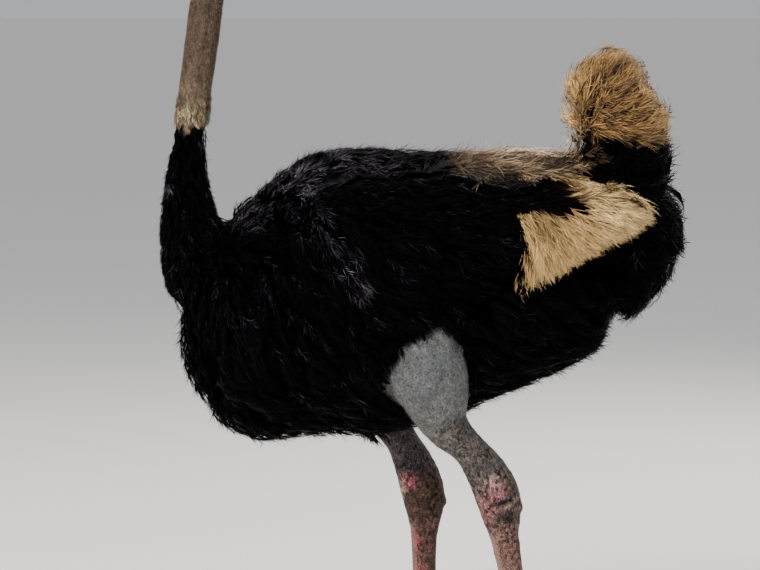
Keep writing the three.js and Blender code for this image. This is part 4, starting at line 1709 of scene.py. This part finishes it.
def paintStrands():
    group = makeStrandGroup()
    for name, look in strandPaints.items():
        tree, shader = startPaint(name, name + "Strands", look["middle"])
        labels = ("root", "middle", "tip", "glint", "spread")
        given = {label.title(): look[label] for label in labels}
        if "other" in look:
            # black turns brown on the rump, and the rump's own strands turn black off it
            brown = channels(tree, attribute(tree, "marks"))[1]
            black = name == "black"
            given["OtherShare"] = brown if black else calc(tree, "SUBTRACT", 1.0, brown)
            given["Other"] = look["other"]
        tone = useGroup(tree, group, Lock=attribute(tree, "lock"), **given)
        tree.links.new(tone["Colour"], shader.inputs["Base Color"])
        tree.links.new(tone["Roughness"], shader.inputs["Roughness"])
        shader.inputs["Sheen Weight"].default_value = look["sheen"]
        shader.inputs["Specular IOR Level"].default_value = look["shine"]


# the skin under the plumage, painted nearly black as the shade between the feathers
shadeUnderPlumage = {
    "black": (0.0005, 0.0005, 0.0007),
    "tan": (0.014, 0.008, 0.004),
    "brown": (0.016, 0.010, 0.007),
}
skinPattern = {
    # how many to a metre
    "dots": 92,
    "scales": 210,
    "cells": 175,  # small patches, each lighter or darker
    "folds": 105,
    "mottle": 22,
    "relief": 0.0016,  # depth of the bumps, in metres
}


def makeSkinGroup():
    # dots, small scales, folds and mottling of bare skin
    group, given, result = newGroup(
        "skinPattern",
        {"Place": "Vector", "Tint": "Color", "Dots": "Float", "Scales": "Float", "Folds": "Float"},
        {"Colour": "Color", "Height": "Float", "Roughness": "Float"},
    )
    p = skinPattern

    def texture(kind, scale, squeeze=None, **settings):
        node = addNode(group, kind, **settings)
        node.inputs["Scale"].default_value = scale
        vector = given["Place"]
        if squeeze:
            vector = vectorMath(group, "MULTIPLY", vector, squeeze)
        group.links.new(vector, node.inputs["Vector"])
        return node.outputs

    def times(a, b):
        return calc(group, "MULTIPLY", a, b)

    def rest(value):
        # what a value leaves of 1, never below 0
        return calc(group, "SUBTRACT", 1.0, value, clamp=True)

    def summed(*values):
        total = values[0]
        for value in values[1:]:
            total = calc(group, "ADD", total, value)
        return total

    def spots(scale, sharp, strength):
        gap = texture("TexVoronoi", scale, (1.0, 1.0, 0.7))["Distance"]
        return times(times(rest(times(gap, sharp)), given["Dots"]), strength)

    def spread(value, gain):
        # stretches a value about its middle, brought to 1
        return summed(ramp(group, value, 0.5, gain, False), 1.0)

    dots = spots(p["dots"], 3.6, 1.0)
    finer = spots(p["dots"] * 2.2, 3.0, 0.6)
    edges = texture("TexVoronoi", p["scales"], feature="DISTANCE_TO_EDGE")["Distance"]
    cracks = times(rest(times(edges, 5.0)), given["Scales"])
    rings = texture("TexNoise", 1.0, (30, 30, p["folds"] * 2))["Fac"]
    creases = calc(group, "ABSOLUTE", calc(group, "SUBTRACT", rings, 0.5))
    creases = times(rest(times(creases, 9.0)), given["Folds"])
    cells = channels(group, texture("TexVoronoi", p["cells"], (1, 1, 0.6))["Color"])[0]
    broad = texture("TexNoise", p["mottle"])["Fac"]
    middle = texture("TexNoise", p["mottle"] * 5, (1.0, 1.0, 0.45))["Fac"]
    fine = texture("TexNoise", 190)["Fac"]
    blotches = ramp(group, middle, 0.5, times(given["Folds"], 2.2), False)
    grains = ramp(group, cells, 0.5, times(given["Folds"], 2.0), False)
    tone = times(spread(broad, 1.1), spread(fine, 1.7))
    tone = times(tone, summed(blotches, 1.0, grains))
    dark = summed(times(dots, 0.85), finer, times(cracks, 0.55), times(creases, 0.30))
    tone = calc(group, "MAXIMUM", times(tone, rest(dark)), 0.06)
    feed(group, result["Colour"], vectorMath(group, "SCALE", given["Tint"], tone))
    sunk = summed(times(dots, -0.35), times(cracks, -0.9), times(creases, -0.6))
    feed(group, result["Height"], summed(times(fine, 0.25), sunk))
    feed(group, result["Roughness"], summed(times(fine, 0.25), 0.42))
    return group


def paintSkin():
    tree, shader = startPaint("skin", "bareSkin", (0.2, 0.15, 0.12))
    tan, brown, bare = channels(tree, attribute(tree, "marks"))
    dots, scales, creased = channels(tree, attribute(tree, "finish"))
    pattern = useGroup(
        tree, makeSkinGroup(), Place=objectPlace(tree), Tint=attribute(tree, "tint"),
        Dots=dots, Scales=scales, Folds=creased,
    )
    # painted shade where the skin lies under the plumage
    under = mixColours(tree, tan, shadeUnderPlumage["black"], shadeUnderPlumage["tan"])
    under = mixColours(tree, brown, under, shadeUnderPlumage["brown"])
    colour = mixColours(tree, bare, under, pattern["Colour"])
    tree.links.new(colour, shader.inputs["Base Color"])
    rough = calc(tree, "SUBTRACT", 1.0, bare)
    rough = calc(tree, "ADD", rough, pattern["Roughness"], clamp=True)
    tree.links.new(rough, shader.inputs["Roughness"])
    addBump(tree, pattern["Height"], skinPattern["relief"], 0.9)
    # the skin shines only where it is bare
    for label, most in (("Specular IOR Level", 0.08), ("Coat Weight", 0.16)):
        tree.links.new(calc(tree, "MULTIPLY", bare, most), shader.inputs[label])
    shader.inputs["Coat Roughness"].default_value = 0.42


hornRelief = 0.0004  # depth of the grain
hornLook = {
    "horn": {"tint": (0.27, 0.150, 0.115), "along": (14, 120, 120), "roughness": 0.44},
    "claw": {"tint": (0.085, 0.066, 0.052), "along": (25, 150, 150), "roughness": 0.42},
    "scute": {"tint": (0.15, 0.084, 0.060), "along": (60, 60, 160), "roughness": 0.40},
}


def makeHornGroup():
    # streaks along the horn and soft blotches over its own tint
    group, given, result = newGroup(
        "hornGrain",
        {"Place": "Vector", "Tint": "Color", "Along": "Vector"},
        {"Colour": "Color", "Height": "Float"},
    )
    stretched = vectorMath(group, "MULTIPLY", given["Place"], given["Along"])
    grain = noiseAt(group, stretched, 2.0, 6)
    blotch = noiseAt(group, given["Place"], 45)
    streak = calc(group, "MULTIPLY", ramp(group, grain, 0.35, 3.0), 0.5)
    streak = calc(group, "SUBTRACT", 1.15, streak)
    tone = calc(group, "ADD", calc(group, "MULTIPLY", blotch, 0.7), 0.65)
    tone = calc(group, "MULTIPLY", tone, streak)
    feed(group, result["Colour"], vectorMath(group, "SCALE", given["Tint"], tone))
    feed(group, result["Height"], grain)
    return group


def paintHorns():
    group = makeHornGroup()
    for name, look in hornLook.items():
        tree, shader = startPaint(name, name + "Horn", look["tint"], look["roughness"])
        grain = useGroup(
            tree, group, Place=objectPlace(tree), Tint=attribute(tree, "tint"),
            Along=look["along"],
        )
        tree.links.new(grain["Colour"], shader.inputs["Base Color"])
        addBump(tree, grain["Height"], hornRelief)


def paintEye():
    # pupil, brown iris with fine spokes, dark rim, under a clear coat
    tree, shader = startPaint("eye", "eyeGlobe", (0.02, 0.012, 0.008), 0.12)
    reach, spoke, _ = channels(tree, attribute(tree, "iris"))
    pupil, edge = eyes["pupil"] / eyes["radius"], eyes["iris"] / eyes["radius"]
    ring = mixColours(tree, spoke, *eyes["spokeColours"])
    specks = noiseAt(tree, objectPlace(tree), 900)
    ring = mixColours(tree, specks, ring, eyes["speckColour"])
    rim = ramp(tree, reach, edge - 0.05, 16.0)
    colour = mixColours(tree, rim, ring, eyes["rimColour"])
    outside = ramp(tree, reach, pupil - 0.02, 30.0)
    colour = mixColours(tree, outside, eyes["pupilColour"], colour)
    tree.links.new(colour, shader.inputs["Base Color"])
    shader.inputs["Specular IOR Level"].default_value = 0.0
    shader.inputs["Coat Weight"].default_value = 0.75
    shader.inputs["Coat Roughness"].default_value = 0.02


# front scales of the legs

scutes = {
    "pitch": 0.0105,  # from one plate to the next
    "thickness": 0.0016,  # how far the end of each plate stands out
    "deep": 0.003,  # how far each strip reaches into the skin
    "halfTurn": 54,  # degrees each way round the front
    "columns": 14,
    # the middle line of each cannon and toe, from the top down
    "lines": {
        "left": [(0.2510, 0.134, 0.455), (0.2642, 0.132, 0.400), (0.3042, 0.129, 0.178),
                 (0.3100, 0.128, 0.118)],
        "right": [(0.0630, 0.136, 0.425), (0.0622, 0.134, 0.375), (0.0652, 0.131, 0.150),
                  (0.0640, 0.130, 0.092)],
    },
    "toes": {
        "left": [(0.292, 0.128, 0.090), (0.250, 0.128, 0.052), (0.200, 0.126, 0.030),
                 (0.160, 0.124, 0.022)],
        "right": [(0.042, 0.130, 0.066), (0.000, 0.130, 0.040), (-0.050, 0.128, 0.026),
                  (-0.090, 0.126, 0.020)],
    },
}


def layScutes(name, line, sign, forward):
    # a strip of overlapping plates laid on the skin along a line
    line = np.array(line) * (1, sign, 1)
    gaps = np.linalg.norm(np.diff(line, axis=0), axis=1)
    reach = np.concatenate([[0], np.cumsum(gaps)])
    plates = int(reach[-1] / scutes["pitch"])
    inPlate = np.array([0.0, 0.25, 0.5, 0.75, 0.97])
    stations = (np.arange(plates)[:, None] + inPlate).ravel() / plates
    rows, columns = len(stations), scutes["columns"]
    bpy.ops.mesh.primitive_grid_add(x_subdivisions=columns - 1, y_subdivisions=rows - 1, size=1)
    strip = bpy.context.object
    strip.name = name
    grid = pointsOf(strip.data)
    column = np.rint((grid[:, 0] + 0.5) * (columns - 1)).astype(int)
    row = np.rint((grid[:, 1] + 0.5) * (rows - 1)).astype(int)
    along = stations[row] * reach[-1]

    def lineAt(places):
        return np.stack([np.interp(places, reach, line[:, axis]) for axis in range(3)], 1)

    middle = lineAt(along)
    run = unit(lineAt(along + 0.004) - lineAt(along - 0.004))
    share = np.tile(inPlate, plates)[row]
    across = (column / (columns - 1)) * 2 - 1
    wide = scutes["halfTurn"] * (0.88 + 0.12 * np.sin(share * math.pi * 0.9))
    angle = np.radians(across * wide)
    front = unit(np.array(forward) - run * (run @ np.array(forward))[:, None])
    sideways = np.cross(run, front)
    ray = front * np.cos(angle)[:, None] + sideways * np.sin(angle)[:, None]
    tree = surface["tree"]
    lift = 0.0004 + scutes["thickness"] * share**0.8
    lift = lift * between(along, 0.0, 0.03) * (1 - np.abs(across) ** 3)
    lift -= 0.0012 * np.abs(across) ** 5
    placed = np.empty_like(grid)
    for index in range(len(grid)):
        start = Vector(middle[index] + ray[index] * 0.09)
        hit = tree.ray_cast(start, Vector(-ray[index]), 0.12)
        if hit[0] is None:
            hit = tree.find_nearest(Vector(middle[index] + ray[index] * 0.03))
        placed[index] = np.array(hit[0]) + ray[index] * lift[index]
    setPoints(strip.data, placed)
    editWhole(strip, bpy.ops.mesh.normals_make_consistent, inside=False)
    if (normalsOf(strip.data) * ray).sum() < 0:
        strip.data.flip_normals()
    finishModifier(strip, "SOLIDIFY", thickness=scutes["deep"], offset=-1.0)
    tint, _ = skinColourAt(pointsOf(strip.data))
    paintPoints(strip.data, "tint", tint * 0.8 + np.array(hornLook["scute"]["tint"]) * 0.2)
    selectOnly(strip)
    bpy.ops.object.shade_smooth_by_angle(angle=math.radians(50))
    handOver(strip, "scute", "scutes")


def makeScutes():
    for name, sign in sides:
        layScutes("cannonScutes_" + name, scutes["lines"][name], sign, (-1, 0, 0.12))
        layScutes("toeScutes_" + name, scutes["toes"][name], sign, (-0.25, 0, 1))


# run

setCamera()
setStudio()
print("stage: camera, lamps and floor")

skin = makeSkin()
foldSkin(skin)
unwrapSkin(skin)
print("stage: skin", len(skin.data.polygons), "faces")
paintStrands()
paintHorns()
paintEye()
paintSkin()
shadeSmooth(skin)
handOver(skin, "skin", "leg_skin", *fleshNodes)
readSurface(skin, markSkin(skin))
print("stage: surface read")

makeEyes()
makeLashes()
makeBill()
makeClaws()
makeScutes()
print("stage: eyes, bill, claws and scutes")

for name, style in coats.items():
    coat = growCoat(name, style)
    print("stage:", name, len(coat.data.polygons), "faces")
